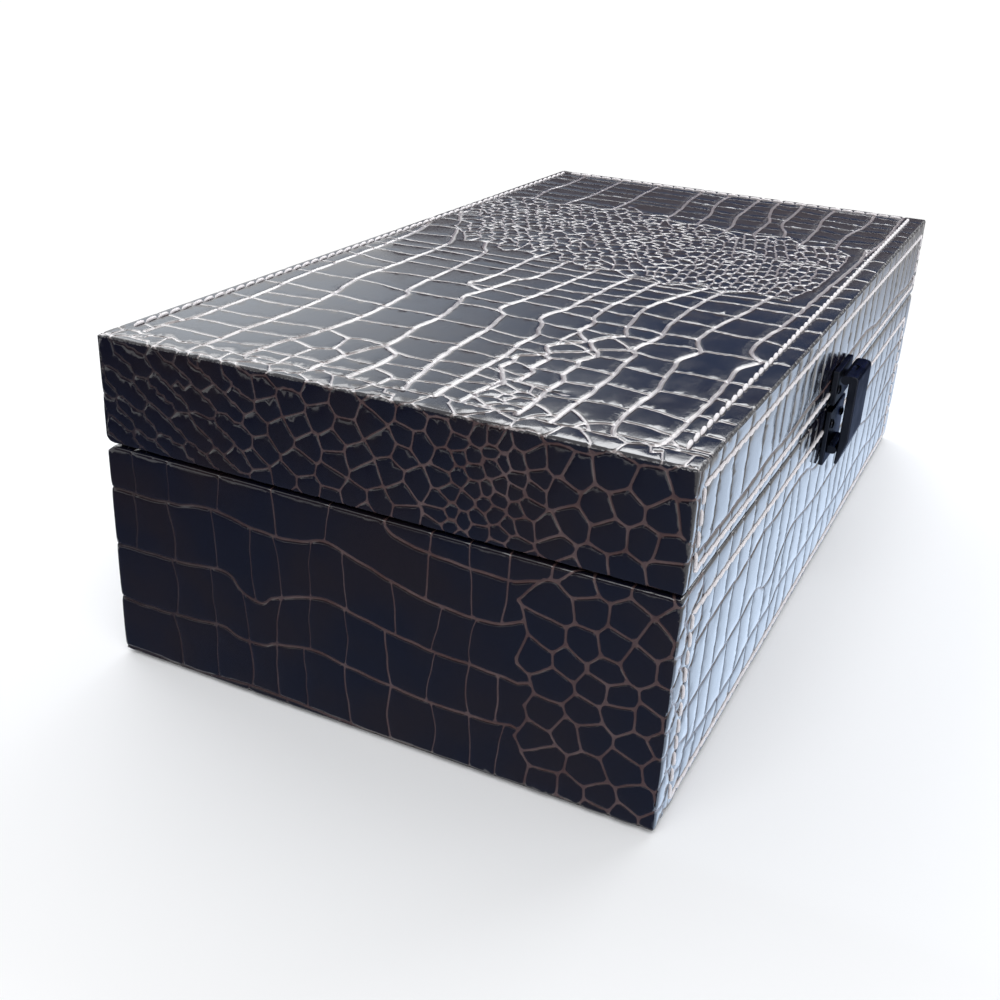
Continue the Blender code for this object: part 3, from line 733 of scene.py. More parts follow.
def top_pattern(shared):
    """The lid's top: rows along the box, a belt of small scales across it, and knots near the left end."""
    zones = [
        Zone([(5, 65.3), (19, 64.9), (27, 62.8), (31, 60), (29, 51), (12, 50.6), (5, 51)],
             6.0, 3.6, 22, 0.85, 0.28),
        Zone([(155, 67), (150, 60), (158, 52), (153, 42), (160, 32), (155, 20), (180, 15), (212, 14),
              (214, 67)], 7.6, 3.4, 4, 0.75, 0.3),
        Zone([(210, 14), (236, 15), (246, 24), (241, 34), (252, 44), (246, 56), (249, 67), (212, 68)],
             9.4, 3.9, 14, 0.8, 0.3),
        Zone([(155, 66), (150, 74), (158, 82), (154, 92), (160, 101), (156, 110), (163, 118), (160, 128),
              (168, 137), (166, 147), (176, 153), (183, 160), (208, 171), (216, 186), (258, 186),
              (251, 170), (257, 158), (250, 148), (257, 136), (254, 126), (264, 114), (256, 106),
              (260, 98), (250, 90), (254, 80), (246, 66)], 10.2, 4.9, 27, 0.85, 0.3),
    ]
    end_band = np.array([(-9, -9), (band, -9), (band, 187), (-9, 187)], float)
    made = Pattern(zones, top_crown, [end_band], 1)
    rear = straight(-5, box_length + 5, box_depth + 1)
    front = straight(-5, box_length + 5, -1)
    rows = [
        [(6, 168.5), (20, 167.5), (27, 165.3), (40, 165.3), (63, 165.3), (75, 166.5), (92, 167.5),
         (156, 168.5), (180, 172), (204, 182)],
        [(6, 147), (28, 146.5), (40, 145.5), (55, 145.3), (73, 146.3), (94, 150.3), (124, 149.4),
         (156, 149.8), (170, 154.4), (184, 160), (208, 172), (222, 181)],
        [(6, 133), (15, 132), (24, 131), (31, 129), (38, 127.5), (45, 126.3), (60, 125.5), (75, 125.8),
         (87, 127.1), (93, 129.8), (124, 130.5), (151, 132), (160, 136), (176, 142)],
        [(105, 109), (108, 114), (112, 117), (120, 114.6), (156, 113.9), (176, 114.6)],
        [(6, 110.8), (12, 111), (20, 110), (26, 109.3), (32, 107.5), (37, 105.5), (45, 105), (57, 106.5),
         (70, 106), (86, 108.3), (95, 110.7), (110, 107.8), (124, 105.5), (133, 101.6), (167, 101.6)],
        [(37, 105.5), (35, 103), (33, 100), (31, 98.7), (25, 98), (20, 98), (15, 99), (7, 99.7)],
        [(6, 82), (15, 84), (25, 85.5), (34, 86.8), (50, 88), (67, 88), (78, 90), (85, 91.5), (90, 95),
         (106, 92.5), (124, 90.7), (156, 88), (166, 92)],
        [(6, 73.6), (30, 73.7), (45, 73), (52, 73), (58, 73.8), (71, 73.7), (76, 75.5), (83, 77),
         (87, 79.8), (93, 79.2), (103, 77.1), (124, 76), (142, 74.8), (160, 72)],
        [(22, 61), (30, 64.5), (36, 68), (39, 69.4), (44, 68.6), (50, 69.8), (53, 66.5), (57, 63.7)],
        [(24, 57.8), (33, 60.5), (40, 60.5), (43, 62), (52, 61.3), (55, 63.2), (58, 63.5), (63, 66.4),
         (69, 63), (74, 59.2), (78, 61.8), (82, 64.2), (93, 64.3), (98, 66), (112, 66.9), (124, 65.7),
         (160, 63)],
        [(6, 51), (10, 50.3), (20, 50.3), (30, 51), (38, 50.5), (43, 52.5), (52, 52.3), (56, 53.5),
         (60, 52), (63, 50.7), (67, 52), (69, 54.5), (75, 57.3), (83, 53.7), (86, 51), (90, 52.5),
         (97, 53.9), (117, 56), (133, 53.2), (150, 48.5), (165, 43)],
        [(6, 41.2), (22, 40.7), (35, 40.3), (53, 41), (62, 42), (70, 41.8), (75, 44), (80, 43.5),
         (85, 42.2), (93, 41.8), (106, 43.5), (133, 43), (160, 40)],
        [(6, 23), (10, 25.3), (16, 26.6), (30, 27), (45, 26.5), (65, 28.7), (73, 29.5), (82, 26.8),
         (85, 27), (95, 31), (110, 30.5), (133, 27.1), (160, 25)],
        [(6, 15), (10, 13), (15, 12), (45, 11.5), (60, 12), (72, 13), (78, 12), (85, 9), (87, 11),
         (92, 13.5), (97, 14.5), (110, 14.1), (133, 12.3), (178, 11.2), (224, 9.5), (250, 11)],
    ]
    a, b, c, extra, d, fork, e, f, spur, g, h, i, j, k = (made.row(row, "main", 1.1) for row in rows)
    forks = [
        [(6, 121.3), (12, 121.5), (19, 120.7), (23.5, 120.3)],
        [(26.3, 115.5), (32, 116.5), (36.5, 118), (38.5, 122), (40.5, 126.8)],
        [(26.5, 130), (25, 125), (23.5, 120.5), (26.3, 115.5), (25.5, 113), (23, 110)],
        [(36.5, 118), (38, 113), (37.5, 106)],
        [(18.5, 98), (16.5, 92), (14, 89.5), (7, 90)],
        [(14, 89.5), (15, 84.5)],
        [(7, 66.2), (17, 66), (22, 65.2), (30, 64.5)],
        [(58, 63.3), (61, 60), (65, 55.3), (69, 54.8)],
        [(70, 62), (68, 57.5), (65.5, 55.2), (64, 52.5), (63, 50.9)],
        [(68, 53), (73, 45), (72.5, 43)],
        [(83, 53.6), (77, 47.5), (73.5, 44.8)],
        [(67, 64.5), (70, 65.2), (76, 64.8), (83, 64.3)],
        [(7, 30), (12, 32.5), (16, 36), (20, 40.5)],
        [(7, 35), (11, 34.2), (13, 32.5), (15, 30), (15.5, 27)],
        [(7, 47), (10, 46), (13, 43), (13, 41)],
        [(13, 43), (16, 46.5), (18, 50)],
        [(7, 7.5), (10, 8.2), (14, 11.8)],
    ]
    for line in forks:
        made.row(line, "cross", 1.35)
    places = np.array([91, 108, 124, 135, 144, 151.5])
    cross_creases = [
        (rear, a, [13.5, 24, 39, 54, 74, *(places - 1), 164, 177, 190]),
        (a, b, [16.5, 27, 39, 55, 63.5, 74.5, 92, 111, 121, 133, 145, 152.5, 166, 180, 193, 204]),
        (b, c, [16, 27, 39, 56, 72, *places]),
        (c, d, [14, 55, 71, 91]),
        (c, extra, places[1:]),
        (extra, d, places[1:] + 3),
        (d, fork, [12.5, 21.5]),
        (fork, e, [24.5, 33.5]),
        (d, e, [48.7, 69, 87.5, 97, 108, 118, 130, 140, 149]),
        (e, f, [17, 26, 35, 46, 59, 67, 85, 102, 112, 123, 133, 141, 150]),
        (f, straight(7, 31, 65.5), [16.5, 23, 29.3]),
        (f, spur, [35.5, 47]),
        (spur, g, [36.5, 43.2]),
        (f, g, [56, 64, 71.5, 83.5, 97, 106, 116, 126, 135, 143, 151]),
        (g, h, [31.5, 43, 54, 85.3, 94.5, 108, 119, 130, 139, 147, 153], 1, 0.5),
        (h, i, [25.2, 38, 51, 63.3, 85.6, 94.3, 112, 128, 140, 150]),
        (i, j, [27, 42, 58, 71.7, 85.5, 95, 110, 126, 140, 150]),
        (j, k, [10, 18.2, 29.7, 45.3, 63, 85.3, 107, 125, 140, 150]),
        (k, front, [11, 21, 33, 48, 64.3, 86, 105, 124, 140, 155, 170, 185, 200, 216, 232]),
    ]
    for between in cross_creases:
        made.rungs(*between)
    levels = [(161, 163.5), (142, 144), (123, 123.7), (97, 103), (83, 89), (70, 75), (55, 66), (46, 55),
              (36, 39), (21.5, 22.5), (10, 10)]
    right = [rear]
    for first, last in levels:
        sway = chance.normal(0, 1.4, 3)
        right.append(made.row([(236, first), (256, first + sway[0]),
                               (276, (2 * first + last) / 3 + sway[1]),
                               (300, (first + 2 * last) / 3 + sway[2]), (336, last)]))
    for upper, lower in zip(right, [*right[1:], front]):
        made.rung_run(upper, lower, 245, 334, 11, 0.34)
    made.finish(top_seams, shared)
    return made


def wandering_row(knots, end, last, swing=1.6, pitch=24):
    """The points of a row that goes on from its knots to its end, wandering about its level."""
    s, v = knots[-1]
    count = max(1, round((end - s) / pitch))
    share = (np.arange(count) + 1) / count
    levels = v + (last - v) * share + chance.normal(0, swing, count) * (share < 1)
    return [*knots, *zip(s + (end - s) * share, levels)]


def body_pattern():
    """The body's walls: rows of large scales, with small round scales round two of the corners."""
    zones = [
        Zone([(-32, 92), (-34, 70), (-40, 62), (-45, 54), (-41, 46), (-44, 36), (-38, 30), (-43, 20),
              (-37, 8), (-40, -12), (14, -12), (22, 20), (16, 40), (20, 60), (10, 92)],
             9.4, 7.6, 12, 0.95, 0.28),
        Zone([(476, 92), (470, 50), (478, 20), (472, -12), (524, -12), (532, 30), (520, 60), (526, 92)],
             8.8, 7.2, -10, 0.95, 0.28),
    ]
    made = Pattern(zones, wall_crown)
    upper = straight(map_start - 5, map_end + 5, body_high.z + fold_in + 2)
    lower = straight(map_start - 5, map_end + 5, body_low.z - turn_under - 2)
    rows = [
        ([(-156, 58), (-142, 59.8), (-125, 57.3), (-111, 57.6), (-102, 59.8), (-94, 57.6), (-84, 54.5),
          (-70, 51), (-56, 49.5), (-46, 50.8), (-38, 54)],
         [(12, 49.6), (37.5, 51.2), (65, 51.9), (83, 54.6), (97, 53.5), (119, 55.7), (137, 54.6),
          (151, 50.5)], 57.6),
        ([(-158, 38.9), (-146, 40.1), (-136, 40.1), (-131, 35.5), (-124, 33.6), (-119, 37),
          (-106, 40.8), (-99, 40.8), (-86, 38.3), (-69, 35.8), (-49, 34.5), (-38, 33)],
         [(12, 29.6), (37, 30.5), (65, 31.9), (83, 34.1), (94, 29.8), (104, 29.8), (115, 35.3),
          (126, 38.2), (142, 36.4), (165, 34.6)], 38.9),
        ([(-160, 19.8), (-140, 21.6), (-133, 19.6), (-124, 19.3), (-119, 21.4), (-106, 23.3),
          (-94, 21.4), (-69, 18.9), (-49, 18.9), (-38, 21)],
         [(12, 17), (31, 14.1), (65, 12.5), (83, 16), (110, 16), (119, 18.7), (165, 17.1)], 20.1),
        ([(-150, 2), (-120, 3.5), (-90, 2), (-38, 1)], [(12, 1.5), (60, 0.5)], 2.5),
    ]
    lines = [(upper, upper)]
    for left, front, level in rows:
        lines.append((made.row([(map_start - 2, level), *left], "main", 0.8),
                      made.row(wandering_row(front, map_end + 2, level), "main", 0.8)))
    lines.append((lower, lower))
    made.row([(-83.2, 73), (-81.4, 68), (-69, 65.1), (-55, 63.9), (-44, 63.9), (-34, 67)], "main", 0.8)
    left_places = [
        [-169, -156, -138, -120, -101, -69, -57, -47],
        [-169.5, -156, -140, -127, -118, -107, -96, -80, -66, -55],
        [-156.5, -141, -130, -118, -107, -96, -81.5, -68, -56, -47],
        [-156, -141, -129, -119, -109, -95, -81, -67.5, -55, -46],
        [-160, -145, -130, -115, -100, -86, -72, -58, -46],
    ]
    front_places = [
        [30, 42, 54, 66, 80, 92, 105, 118, 130, 143, 156],
        [28, 40, 52, 67, 83, 92, 106, 117, 128, 144, 160],
        [28, 39, 54, 68, 82, 96, 108, 119, 130, 144, 159],
        [29, 40, 52, 66, 81, 95, 109, 120, 131, 145, 160],
        [28, 41, 53, 66, 80, 94, 108, 120, 133, 146, 160],
    ]
    for index, ((left_top, top), (left_foot, foot)) in enumerate(zip(lines, lines[1:])):
        made.rungs(left_top, left_foot, left_places[index], 0.9)
        made.rungs(top, foot, front_places[index], 0.85)
        made.rung_run(top, foot, 166, map_end, 13.5, 0.8)
    made.finish([body_seam])
    return made


def lid_pattern():
    """The lid's walls: small scales on the ends, and one row of tall scales on the front and the rear."""
    start = map_start - 12
    low, high = 60, 107
    right, rear = box_length, box_length + box_depth
    over = arris_level + band
    zones = [
        Zone([(start, arris_level), (band_end, arris_level), (band_end, over), (start, over)],
             9.0, 4.1, 0, 0.8, 0.3),
        Zone([(start, low), (-127, low), (-124, high), (start, high)], 15, 5.0, -32, 0.8, 0.24),
        Zone([(-129, low), (-72, low), (-64, high), (-126, high)], 9.2, 5.8, -12, 0.8, 0.28),
        Zone([(-74, low), (-42, low), (-34, high), (-66, high)], 4.9, 4.2, -35, 0.8, 0.3),
        Zone([(-44, low), (3, low), (4, high), (-36, high)], 9.2, 7.4, 60, 0.95, 0.28),
        Zone([(right - 3, low), (right + 60, low), (right + 52, high), (right - 2, high)],
             8.4, 7.0, -12, 0.95, 0.28),
        Zone([(right + 58, low), (rear + 5, low), (rear + 8, high), (right + 50, high)],
             8.8, 6.0, 15, 0.9, 0.28),
    ]
    made = Pattern(zones, wall_crown)
    upper = straight(map_start - 5, map_end + 5, high + 4)
    lower = straight(map_start - 5, map_end + 5, low - 4)
    knots = [(2, 81), (20, 80.2), (46, 80.7), (74, 82), (96, 80.9), (120, 82)]
    row = made.row(wandering_row(knots, right + 2, 81, 1.0), "main", 0.9)
    back = made.row(wandering_row([(rear, 88), (rear + 30, 87)], map_end + 2, 87), "main", 0.9)
    made.rungs(upper, row, [8, 19.3, 31.8, 45.5, 61.4, 73.9, 84, 96, 109, 121, 134, 147, 160],
               0.85, 0.5, 0.4)
    made.rungs(row, lower, [14, 26, 39, 53, 68, 80, 92, 104, 117, 130, 143, 157], 0.85)
    for first, last, middle, pitch in ((168, right, row, 13), (rear + 8, map_end, back, 13.5)):
        made.rung_run(upper, middle, first, last, pitch, 0.8)
        made.rung_run(middle, lower, first, last, pitch, 0.8)
    made.finish([lid_seam])
    return made


def stitch_form():
    """One stitch along X: two strands twisted together, with its ends drawn down into the leather."""
    along = np.linspace(-1, 1, stitch_rings)
    turn = np.linspace(0, 2 * math.pi, thread_sides, endpoint=False)
    grid, angle = np.meshgrid(along, turn, indexing="ij")
    width = thread_radius * np.sqrt(np.clip(1 - 0.97 * grid**6, 0, 1))
    radius = width * (1 + 0.12 * np.cos(2 * angle - 3.2 * grid))
    points = np.stack([
        grid * stitch_length / 2,
        radius * np.cos(angle),
        radius * np.sin(angle) * 0.9 - 0.45 * grid**4,
    ], -1).reshape(-1, 3)
    polygons = []
    for ring in range(stitch_rings - 1):
        for side in range(thread_sides):
            here = ring * thread_sides + side
            after = ring * thread_sides + (side + 1) % thread_sides
            polygons.append([here, here + thread_sides, after + thread_sides, after][::-1])
    polygons.append(list(range(thread_sides)))
    polygons.append([(stitch_rings - 1) * thread_sides + side for side in range(thread_sides)][::-1])
    return points, polygons


def stitch_seam(name, body, lines, surface):
    """A row of stitches along lines on a skin's map."""
    form, polygons = stitch_form()
    points, faces = [], []
    for knots in (np.array(line, float) for line in lines):
        for start, end in zip(knots, knots[1:]):
            length = np.linalg.norm(end - start)
            count = max(1, round(length / stitch_pitch))
            for index in range(count):
                middle = start + (end - start) * (index + 0.5) / count
                step = (end - start) / length * 0.5
                here, ahead = surface.place(np.array([middle, middle + step]), np.zeros(2))
                along = (ahead - here) / np.linalg.norm(ahead - here)
                up = surface.place(middle[None], np.ones(1))[0] - here
                side = np.cross(up, along)
                turned = along * math.cos(stitch_slant) + side * math.sin(stitch_slant)
                basis = np.array([turned, np.cross(up, turned), up])
                first = len(points) * len(form)
                points.append(form @ basis + here + up * (stitch_lift - seam_depth))
                faces += [[corner + first for corner in polygon] for polygon in polygons]
    dress(add_shape(name, np.vstack(points), faces), body, thread_finish)


def points_of(mesh):
    """A mesh's points, in millimetres."""
    points = np.empty(len(mesh.vertices) * 3)
    mesh.vertices.foreach_get("co", points)
    return points.reshape(-1, 3) / mm


def set_points(mesh, points):
    mesh.vertices.foreach_set("co", (points * mm).ravel())
    mesh.update()


def apply_modifiers(piece):
    depsgraph = bpy.context.evaluated_depsgraph_get()
    piece.data = bpy.data.meshes.new_from_object(piece.evaluated_get(depsgraph))
    piece.modifiers.clear()


def swell(piece, held):
    """Presses a closed pad outward from inside by a cloth simulation, with some of its points held."""
    piece.vertex_groups.new(name="held").add(held.tolist(), 1.0, "REPLACE")
    cloth = piece.modifiers.new("cloth", "CLOTH")
    cloth.settings.vertex_group_mass = "held"
    cloth.settings.use_pressure = True
    cloth.settings.uniform_pressure_force = pad_pressure
    cloth.settings.effector_weights.gravity = 0
    cloth.point_cache.frame_end = pad_frames
    for number in range(1, pad_frames + 1):
        bpy.context.scene.frame_set(number)
    apply_modifiers(piece)
    bpy.context.scene.frame_set(1)


def padded_piece(name, body, up):
    """A velvet pad, glued flat to its board, and swollen on the other side by its wadding."""
    low, high = (np.array(corner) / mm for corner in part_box(name))
    piece = add_object(name + "_velvet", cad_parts[name].data.copy())
    inset = np.array([pad_inset, pad_inset, pad_inset / 2])
    middle = (low + high) / 2
    lowered = middle - (0, 0, up * inset[2])
    set_points(piece.data, lowered + (points_of(piece.data) - middle) * (1 - 2 * inset / (high - low)))
    piece.modifiers.new("remesh", "REMESH").voxel_size = pad_voxel * mm
    apply_modifiers(piece)
    start = points_of(piece.data)
    glued_side = np.min(start[:, 2] * up)
    swell(piece, np.flatnonzero(start[:, 2] * up < glued_side + pad_inset))
    shift = points_of(piece.data) - start
    size = np.linalg.norm(shift, axis=1)[:, None] + 1e-9
    swollen = start + shift / size * np.tanh(size / pad_swell) * pad_swell
    (high if up > 0 else low)[2] += up * pad_swell
    set_points(piece.data, np.clip(swollen, low, high))
    piece.modifiers.new("smooth", "SUBSURF").levels = 1
    apply_modifiers(piece)
    piece.data.shade_smooth()
    piece.data.materials.clear()
    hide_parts(name)
    dress(piece, body, velvet_finish)


class Nodes:
    """A node tree, and short ways to add the nodes that the finishes need."""

    def __init__(self, tree):
        self.tree = tree

    def add(self, kind, inputs, **settings):
        made = self.tree.nodes.new("ShaderNode" + kind)
        for name, value in settings.items():
            setattr(made, name, value)
        for name, value in inputs.items():
            if isinstance(value, bpy.types.NodeSocket):
                self.tree.links.new(value, made.inputs[name])
            else:
                made.inputs[name].default_value = value
        return made.outputs

    def mark(self, name, kind="Fac"):
        """A value that each point of the mesh carries."""
        return self.add("Attribute", {}, attribute_name=name)[kind]

    def place(self):
        return self.add("TexCoord", {})["Object"]

    def parts(self, vector):
        return self.add("SeparateXYZ", {"Vector": vector})

    def maths(self, operation, first, second=0.0, third=0.0):
        return self.add("Math", {0: first, 1: second, 2: third}, operation=operation)[0]

    def times(self, first, second):
        return self.maths("MULTIPLY", first, second)

    def times_plus(self, first, second, third):
        return self.maths("MULTIPLY_ADD", first, second, third)

    def noise(self, vector, scale, detail=2.0, roughness=0.5):
        inputs = {"Vector": vector, "Scale": scale, "Detail": detail, "Roughness": roughness}
        return self.add("TexNoise", inputs)["Fac"]

    def ramp(self, value, low, high, to_low=0.0, to_high=1.0):
        inputs = {"Value": value, "From Min": low, "From Max": high, "To Min": to_low, "To Max": to_high}
        return self.add("MapRange", inputs, interpolation_type="SMOOTHSTEP")[0]

    def mix(self, share, first, second):
        """A blend of two colours."""
        return self.add("Mix", {0: share, 6: first, 7: second}, data_type="RGBA")[2]

    def stretched(self, vector, scale):
        return self.add("VectorMath", {0: vector, 1: scale}, operation="MULTIPLY")[0]

    def bump(self, height, depth):
        return self.add("Bump", {"Height": height, "Distance": depth * mm, "Strength": 1.0})[0]


class Finish(Nodes):
    """A material, with the values that are the same all over its surface."""

    def __init__(self, name, **sockets):
        self.material = bpy.data.materials.new(name)
        self.material.use_nodes = True
        super().__init__(self.material.node_tree)
        self.inputs = self.tree.nodes["Principled BSDF"].inputs
        for socket, value in sockets.items():
            self.inputs[socket.replace("_", " ")].default_value = value

    def done(self, **sockets):
        """The material, once the values that vary over its surface are linked."""
        for socket, value in sockets.items():
            self.tree.links.new(value, self.inputs[socket.replace("_", " ")])
        return self.material


def leather_material():
    """Glossy near-black scales, and waxy reddish-brown creases that catch the light; along the left end the
    creases' colour fades towards the scales' with painted shade, most at its rear corner.
    """
    made = Finish("embossed_leather_finish", IOR=1.6, Coat_IOR=2.0, Coat_Roughness=0.3)
    hide = made.mark("hide", "Vector")
    edge, main = made.mark("edge"), made.mark("main")
    place = made.parts(hide)
    on_top = place["Z"]
    ragged = made.times_plus(made.noise(hide, 1.4, 3), 0.18, -0.09)
    narrower = made.times_plus(on_top, -0.05, 0.05)
    border = made.maths("ADD", made.maths("ADD", edge, ragged), narrower)
    crease = made.ramp(border, -0.15, 0.15, 1.0, 0.0)

    patches = made.ramp(made.noise(hide, 0.03, 3), 0.35, 0.7)
    scale_colour = made.mix(patches, (0.004, 0.0045, 0.011, 1), (0.009, 0.006, 0.008, 1))
    worn = made.ramp(made.noise(hide, 0.09, 4), 0.3, 0.75)
    crease_colour = made.mix(worn, (0.060, 0.030, 0.028, 1), (0.100, 0.066, 0.066, 1))
    # Painted shade: on the left end the creases' colour fades to the scales' near-black, most towards its
    # rear corner, where less light falls
    crease_share_with_painted_shade = made.times(crease, made.ramp(place["X"], -190, -70, 0.15, 1.0))
    smears = made.ramp(made.noise(hide, 0.12, 4), 0.3, 0.75, 0.09, 0.17)
    roughness = made.add("Mix", {0: crease, 2: smears, 3: 0.32}, data_type="FLOAT")[0]

    phase = made.times_plus(place["X"], 4.4, made.times(made.noise(hide, 0.35), 16))
    strokes = made.ramp(made.maths("SINE", phase), 0.35, 0.8)
    beside = made.times(made.ramp(main, -0.1, 0.3), made.ramp(main, 1.6, 2.4, 1, 0))
    beside = made.times(beside, made.ramp(made.noise(hide, 0.1, 1), 0.36, 0.52))
    grain = made.times(made.noise(hide, 2.6), 0.25)
    streaks = made.noise(made.stretched(hide, (0.12, 1.5, 1)), 1.0)
    streaky = made.times(made.ramp(made.noise(hide, 0.045, 1), 0.45, 0.62, 0.1, 1.0), on_top)
    height = made.times_plus(made.times(streaks, streaky), 0.6, grain)
    height = made.times_plus(made.times(strokes, beside), -0.6, height)
    return made.done(Base_Color=made.mix(crease_share_with_painted_shade, scale_colour, crease_colour), Roughness=roughness,
                     Coat_Weight=made.times(crease, on_top), Normal=made.bump(height, 0.05))


def thread_material():
    made = Finish("thread_finish", Roughness=0.55, Sheen_Weight=0.3)
    fibres = made.noise(made.place(), 2500, 3)
    colour = made.mix(fibres, (0.62, 0.58, 0.60, 1), (0.85, 0.82, 0.84, 1))
    return made.done(Base_Color=colour, Normal=made.bump(fibres, 0.08))


def fabric_material(name, low_colour, high_colour, pile, **sockets):
    """A short pile or felt: clumped fibres with a soft sheen."""
    made = Finish(name, **sockets)
    place = made.place()
    fibres = made.noise(place, 1 / (pile * mm), 4, 0.7)
    clumps = made.noise(place, 60, 4, 0.6)
    share = made.times_plus(clumps, 0.6, made.times(fibres, 0.4))
    colour = made.mix(made.ramp(share, 0.3, 0.7), low_colour, high_colour)
    height = made.times_plus(clumps, 2.0, fibres)
    return made.done(Base_Color=colour, Normal=made.bump(height, 0.25))


def metal_material(name, colour, worn_colour, low, high, **sockets):
    """Plated or dark metal with faint smears and fine scratches."""
    made = Finish(name, Metallic=1.0, **sockets)
    place = made.place()
    smears = made.noise(place, 90, 4, 0.6)
    scratches = made.noise(made.stretched(place, (300, 4000, 900)), 1.0)
    return made.done(Base_Color=made.mix(smears, colour, worn_colour),
                     Roughness=made.ramp(smears, 0.3, 0.7, low, high), Normal=made.bump(scratches, 0.01))


def board_material():
    """Fibreboard, stained brown where it shows at the lid's rim."""
    made = Finish("fibreboard_finish", Roughness=0.85)
    fibres = made.noise(made.stretched(made.place(), (1200, 1200, 2600)), 1.0, 4, 0.7)
    colour = made.mix(fibres, (0.050, 0.030, 0.023, 1), (0.095, 0.058, 0.045, 1))
    return made.done(Base_Color=colour, Normal=made.bump(fibres, 0.1))


def dress_nodes():
    """Gives each node of the frame that still shows a finish by what it is."""
    finishes = {"board": board_finish, "lining": velvet_finish, "pad": velvet_finish, "felt": felt_finish,
                "plate": gunmetal_finish, "flap": gunmetal_finish, "catch_screw": gunmetal_finish,
                "lid_screw": gunmetal_finish, "leather": leather_finish}
    for name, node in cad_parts.items():
        found = [finish for part, finish in finishes.items() if part in name]
        finish = steel_finish if "hinge" in name or not found else found[0]
        node.data.materials.clear()
        node.data.materials.append(finish)


def direction(azimuth, elevation):
    """A direction, by its angle from +X towards +Y and its angle above the floor."""
    azimuth, elevation = math.radians(azimuth), math.radians(elevation)
    level = math.cos(elevation)
    return Vector((level * math.cos(azimuth), level * math.sin(azimuth), math.sin(elevation)))


def add_camera():
    data = bpy.data.cameras.new("camera")
    data.lens = camera_lens
    data.clip_start = 0.01
    camera = add_object("camera", data)
    roll = Matrix.Rotation(math.radians(camera_roll), 4, "Z").to_quaternion()
    camera.rotation_mode = "QUATERNION"
    camera.rotation_quaternion = direction(*camera_aim).to_track_quat("-Z", "Y") @ roll
    camera.location = camera_place
    bpy.context.scene.camera = camera


def aim(thing, angles, distance):
    """Sets a lamp or card at a distance in a direction from the box, facing it."""
    toward = direction(*angles)
    thing.location = toward * distance + Vector((0, 0, box_middle))
    thing.rotation_mode = "QUATERNION"
    thing.rotation_quaternion = toward.to_track_quat("Z", "Y")
    thing.visible_camera = False


def add_lamp(name, kind, angles, distance, **settings):
    """A lamp that points at the box."""
    data = bpy.data.lights.new(name, kind)
    for setting, value in settings.items():
        setattr(data, setting, value)
    aim(add_object(name, data), angles, distance)


def add_panel(name, angles, distance, width, height, power, colour):
    """A soft rectangular lamp."""
    add_lamp(name, "AREA", angles, distance, shape="RECTANGLE", size=width, size_y=height, energy=power,
             color=colour)


def add_sheet(name, width, height, material):
    """A flat stage piece, level and centred."""
    corners = np.array([(-1, -1, 0), (1, -1, 0), (1, 1, 0), (-1, 1, 0)]) * (width / 2, height / 2, 1)
    mesh = bpy.data.meshes.new(name)
    mesh.from_pydata(corners.tolist(), [], [(0, 1, 2, 3)])
    mesh.materials.append(material)
    sheet = add_object(name, mesh)
    return sheet


def add_card(name, width, height, first, last, axis):
    """A card seen only in reflections, which shades from one colour to another along one of its axes."""
    made = Finish(name + "_finish", Base_Color=(0, 0, 0, 1), Specular_IOR_Level=0.0, Emission_Strength=1.0)
    half = (width if axis == "X" else height) / 2
    share = made.ramp(made.parts(made.place())[axis], -half, half)
    material = made.done(Emission_Color=made.mix(share, (*first, 1), (*last, 1)))
    card = add_sheet(name, width, height, material)
    card.visible_camera = False
    card.visible_shadow = False
    card.visible_diffuse = False
    return card


def seen_directly(nodes):
    """1 for what the camera and the gloss see, 0 for the light that falls on things."""
    path = nodes.add("LightPath", {})
    seen = nodes.maths("MAXIMUM", path["Is Camera Ray"], path["Is Glossy Ray"])
    return nodes.maths("MAXIMUM", seen, path["Is Transmission Ray"])


def add_floor():
    """A pale floor that keeps the box's shadow, and is plain white further off."""
    made = Finish("floor_finish", Roughness=0.9, Specular_IOR_Level=0.1, Emission_Color=(1, 1, 1, 1))
    distance = made.add("VectorMath", {0: made.place()}, operation="LENGTH")["Value"]
    far = made.times(made.ramp(distance, *white_from), seen_directly(made))
    colour = made.mix(far, (0.86, 0.87, 0.89, 1), (0, 0, 0, 1))
    add_sheet("floor", 40, 40, made.done(Base_Color=colour, Emission_Strength=far))


def light_world():
    """A white surround for what the camera and the gloss see, and a fainter one as fill light."""
    world = bpy.data.worlds.new("studio")
    bpy.context.scene.world = world
    world.use_nodes = True
    nodes = Nodes(world.node_tree)
    inputs = world.node_tree.nodes["Background"].inputs
    strength = nodes.ramp(seen_directly(nodes), 0, 1, fill_strength, 1)
    world.node_tree.links.new(strength, inputs["Strength"])
    inputs["Color"].default_value = (1, 1, 1, 1)


leather_finish = leather_material()
thread_finish = thread_material()
velvet_finish = fabric_material("velvet_finish", (0.075, 0.040, 0.031, 1), (0.14, 0.078, 0.060, 1), 0.35,
                                Roughness=0.9, Sheen_Weight=0.8, Sheen_Roughness=0.4,
                                Sheen_Tint=(0.8, 0.5, 0.4, 1))
felt_finish = fabric_material("felt_finish", (0.018, 0.017, 0.019, 1), (0.034, 0.032, 0.035, 1), 0.5,
                              Roughness=0.95, Sheen_Weight=0.3)
gunmetal_finish = metal_material("gunmetal_finish", (0.018, 0.019, 0.024, 1), (0.035, 0.037, 0.045, 1),
                                 0.3, 0.44, Specular_Tint=(0.25, 0.27, 0.33, 1))
steel_finish = metal_material("steel_finish", (0.42, 0.42, 0.43, 1), (0.52, 0.52, 0.53, 1), 0.24, 0.38)
board_finish = board_material()

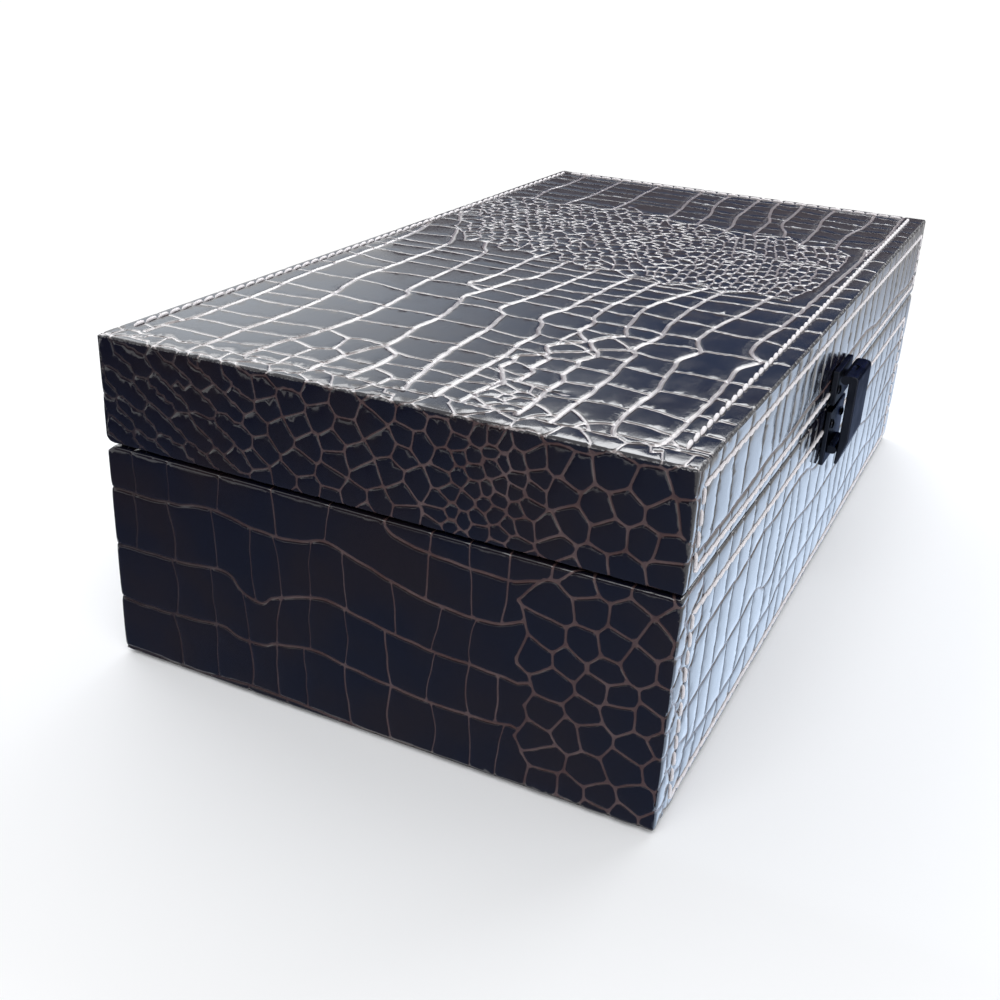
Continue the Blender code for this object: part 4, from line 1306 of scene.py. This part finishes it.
add_camera()
add_floor()
light_world()
add_panel("window", (-4, 40), 1.7, 1.7, 0.55, 15, (0.97, 0.98, 1.0))
add_panel("rear_window", (62, 38), 1.6, 1.3, 0.9, 12, (0.97, 0.98, 1.0))
add_panel("front_fill", (-75, 25), 1.6, 1.0, 0.7, 3, (0.92, 0.96, 1.0))
add_lamp("overhead", "SUN", (200, 55), 2, energy=2.05, angle=math.radians(60))

# Cards round the box: width, height, two colours and the axis they shade along, direction and distance
dusk = (0.10, 0.14, 0.25)
umber = (0.10, 0.07, 0.07)
cards = {
    "low_card": (0.9, 0.27, (0.06, 0.05, 0.055), (0.20, 0.18, 0.20), "Y", (14, 10), 1.25),
    "dark_card": (0.6, 0.33, dusk, dusk, "X", (0.5, 24), 1.25),
    "high_card": (0.86, 0.33, dusk, (1.5, 1.6, 1.72), "X", (33, 24), 1.25),
    "side_card": (1.6, 0.9, umber, umber, "X", (170, 22), 1.2),
}
for name, (*look, angles, distance) in cards.items():
    aim(add_card(name, *look), angles, distance)

# Cards on the floor, beside the left end and the front
left_card = add_card("left_card", 0.8, 0.65, (0.14, 0.17, 0.26), (0.02, 0.02, 0.04), "Y")
left_card.location = (-0.5656, 0.125, 0.0005)
front_card = add_card("front_card", 1.0, 0.1, (1.5, 1.8, 2.25), (0.3, 0.26, 0.24), "X")
front_card.location = (0.33, -0.1398, 0.0005)

dress_nodes()
padded_piece("floor_pad", "box", 1)
padded_piece("lid_pad", "lid", -1)
lid_hide = lid_pattern()
top_hide = top_pattern(turned_over(lid_hide))
leather_piece("lid_top_leather", "lid", top_hide, Top())
stitch_seam("top_stitching", "lid", top_seams, Top())

walls = [("lid", "lid", lid_hide, lid_seam), ("box", "body", body_pattern(), body_seam)]
for body, prefix, hide, seam in walls:
    for side in turns:
        wall = Wall(side, prefix == "lid")
        leather_piece(f"{prefix}_{side}_leather", body, hide, wall)
        if side == "front":
            stitch_seam(f"{prefix}_front_stitching", body, [seam], wall)

scene = bpy.context.scene
scene.view_settings.view_transform = "Standard"
